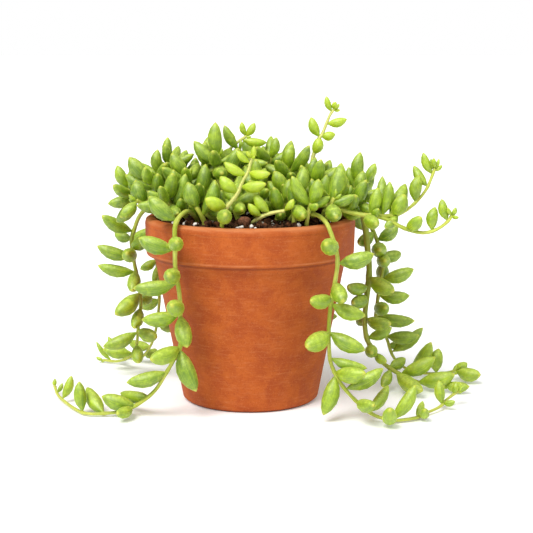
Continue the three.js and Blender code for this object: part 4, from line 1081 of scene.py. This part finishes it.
def makeSoil():
    s, top = soilDetail, soilShape["top"]
    section = [(innerFoot - soilShape["gap"], potShape["floor"] + soilShape["gap"]),
               (soilRadius - s["edgeTaper"], bandFoot), (soilRadius, top - s["edgeDrop"])]
    section += [(soilRadius - k * s["ring"], top) for k in range(1, int(soilRadius / s["ring"]))]
    soil = makeTurned("soilBody", section, s["steps"], False)
    points = readPoints(soil.data)
    for point in points:
        if point[2] > top - s["edgeReach"]:
            place = Vector(point) * s["waveScale"]
            fine = s["fineWave"] * noise.noise(place * s["fineScale"])
            point[2] += s["wave"] * (noise.noise(place) + fine)
    writePoints(soil.data, points)
    finishPiece(soil, "darkSoil", "soil")


# Rough lumps that the grains are copied from
lumps = {
    "crumbMaster": {"rounds": 1, "roughness": 0.42, "seed": 2},
    "perliteMaster": {"rounds": 2, "roughness": 0.16, "seed": 5},
    "barkChip": {"rounds": 3, "roughness": 0.1, "seed": 8},
    "scarMaster": {"rounds": 1, "roughness": 0.15, "seed": 3},
}


def makeLump(name):
    deselectAll()
    bpy.ops.mesh.primitive_ico_sphere_add(subdivisions=lumps[name]["rounds"], radius=1)
    lump = bpy.context.object
    editMode(True)
    bpy.ops.mesh.select_all(action="SELECT")
    bpy.ops.transform.vertex_random(offset=lumps[name]["roughness"], seed=lumps[name]["seed"])
    editMode(False)
    lump.name = name
    return lump


# Grains on the soil. So many of each kind are tried, and those that would stand in the plant are left out.
# "lift", "edge" and "clear" are in sizes of the grain, and the turns of the front ones in half circles.
grainRule = {
    "seed": 9, "edge": 1.4, "clear": 0.9, "power": 2, "stretch": (0.75, 0.5),
    "frontShare": (0.55, 0.45), "frontTurn": (1.15, 0.7), "smoothTo": 35,
}
crumbGrains = {"count": 520, "sizes": (0.45, 1.5), "lift": 0.35}
clodGrains = {"count": 150, "sizes": (1.1, 2.3), "lift": 0.55}
frontClods = {"count": 210, "sizes": (0.5, 1.7), "lift": 0.75, "front": True}
perliteGrains = {"count": 130, "sizes": (0.6, 1.35), "lift": 0.6}
# x, y and size of the perlite bits along the front of the rim
frontBits = [(-27.5, -36, 1), (-19.4, -17, 1), (-17.6, -35.5, 1.05), (-4.2, -45, 0.95), (0.6, -44.6, 1.15),
             (6.2, -35, 1.15), (15.8, -30, 0.95), (24.1, -39.5, 1.1), (-33, -32, 0.8), (11, -43, 0.7)]
barkChip = {"at": (-2.8, -38.5, 98.9), "size": (3.3, 2.5, 2.7), "smoothTo": 40}


def grainSpots(kind, draw, balls):
    g, spots, (least, most) = grainRule, [], kind["sizes"]
    for index in range(kind["count"]):
        size = least + (most - least) * draw() ** g["power"]
        if kind.get("front"):
            share, turn = drawIn(g["frontShare"], draw), math.pi * drawIn(g["frontTurn"], draw)
        else:
            share, turn = math.sqrt(draw()), math.tau * draw()
        radius = (soilRadius - size * g["edge"]) * share
        height = soilShape["top"] + kind["lift"] * size
        spot = np.array([radius * math.cos(turn), radius * math.sin(turn), height])
        if np.all(np.linalg.norm(balls[:, :3] - spot, axis=1) > balls[:, 3] + size * g["clear"]):
            spots.append((spot, size))
    return spots


def scatterGrains(name, master, spots, draw, finish, smoothTo=None):
    grains = []
    for (x, y, z), size in spots:
        grain = linkedObject("grain", master.data.copy())
        turn = Euler([draw() * math.tau for axis in range(3)]).to_matrix()
        stretch = np.array([drawIn(grainRule["stretch"], draw) for axis in range(3)]) * size
        writePoints(grain.data, readPoints(grain.data) * stretch @ np.array(turn) + [x, y, z])
        grain.data.materials.append(finishes[finish])
        grains.append(grain)
    finishPiece(joinPieces(grains, name), finish, smoothTo=smoothTo)


def makeGroundCover(balls):
    draw = Random(grainRule["seed"]).random
    crumb, bit = makeLump("crumbMaster"), makeLump("perliteMaster")
    spots = grainSpots(crumbGrains, draw, balls)
    scatterGrains("soilCrumbs", crumb, spots, draw, "darkSoil", grainRule["smoothTo"])
    spots = grainSpots(clodGrains, draw, balls) + grainSpots(frontClods, draw, balls)
    scatterGrains("soilClods", crumb, spots, draw, "brownCrumb", grainRule["smoothTo"])
    spots = grainSpots(perliteGrains, draw, balls)
    spots += [((x, y, soilShape["top"] + size), size) for x, y, size in frontBits]
    scatterGrains("perliteBits", bit, spots, draw, "perlite")
    dropMaster(crumb)
    dropMaster(bit)
    chip = makeLump("barkChip")
    writePoints(chip.data, readPoints(chip.data) * barkChip["size"] + barkChip["at"])
    finishPiece(chip, "barkChip", smoothTo=barkChip["smoothTo"])


def makeFoliage(grown):
    leafMaster, scarMaster, random = makeLeafMaster(), makeLump("scarMaster"), Random(leafYouth["seed"])
    for node in dict.fromkeys(plant["shoot"]["node"] for plant in grown):
        plants = [plant for plant in grown if plant["shoot"]["node"] == node]
        makeLeafyPiece(node, plants, leafMaster, scarMaster, random)
    dropMaster(leafMaster)
    dropMaster(scarMaster)


makePot()
makeSoil()
print("pot and soil made")
grown, space = growPlant(shoots + backShoots())
print("leaves placed by the part's rules:", sum(len(plant["leaves"]) for plant in grown))
print("leaves added low in the mound:", addUndergrowth(grown, space))
addTipBuds(grown, space)
makeGroundCover(space["balls"])
print("crumbs, perlite and bark made")
makeFoliage(grown)
print("leafy stems made")

# A plain pale floor and soft studio light. The world is white to the camera and dimmer for all else.
floorFinish = {
    "size": 60, "clouds": (3, 3), "grey": (0.93, 0.93, 0.93, 1), "white": (0.96, 0.96, 0.96, 1),
    "roughness": (0, 1, 0.75, 0.85), "bump": (0.02, 0.001),
    "sockets": {"Specular IOR Level": 0.1, "Emission Color": (1, 1, 1, 1), "Emission Strength": 0.12},
}
studio = {
    "around": 0.54, "reflected": 0.1, "white": (1, 1, 1, 1),
    "lights": [
        {"name": "keyLight", "from": (-0.45, -0.6, 1), "spread": 34, "strength": 2.85},
        {"name": "fillLight", "from": (0.8, -0.5, 0.9), "spread": 70, "strength": 0.5},
    ],
}


def makeFloor():
    f = floorFinish
    deselectAll()
    bpy.ops.mesh.primitive_plane_add(size=f["size"], location=(0, 0, 0))
    floor = bpy.context.object
    floor.name = "studioFloor"
    beginNodes(bpy.data.materials.new("paleFloor"))
    clouds = noiseOf(objectPlace(), *f["clouds"])
    colour = mixOf(clouds, f["grey"], f["white"])
    floor.data.materials.append(finishNodes(colour, rangeOf(clouds, *f["roughness"]), clouds, f))


def makeLights():
    for light in studio["lights"]:
        data = bpy.data.lights.new(light["name"], "SUN")
        data.energy, data.angle = light["strength"], math.radians(light["spread"])
        lamp = linkedObject(light["name"], data)
        lamp.rotation_euler = Vector(light["from"]).to_track_quat("Z", "Y").to_euler()
    scene.world = bpy.data.worlds.new("studioWorld")
    beginNodes(scene.world)
    background = scene.world.node_tree.nodes["Background"]
    ray = addNode("ShaderNodeLightPath").outputs
    dimmed = rangeOf(ray["Is Glossy Ray"], 0, 1, studio["around"], studio["reflected"])
    setInput(background.inputs["Color"], studio["white"])
    setInput(background.inputs["Strength"], mathOf("MAXIMUM", ray["Is Camera Ray"], dimmed))
    scene.view_settings.view_transform = "Standard"


makeFloor()
makeLights()
print("studio set")
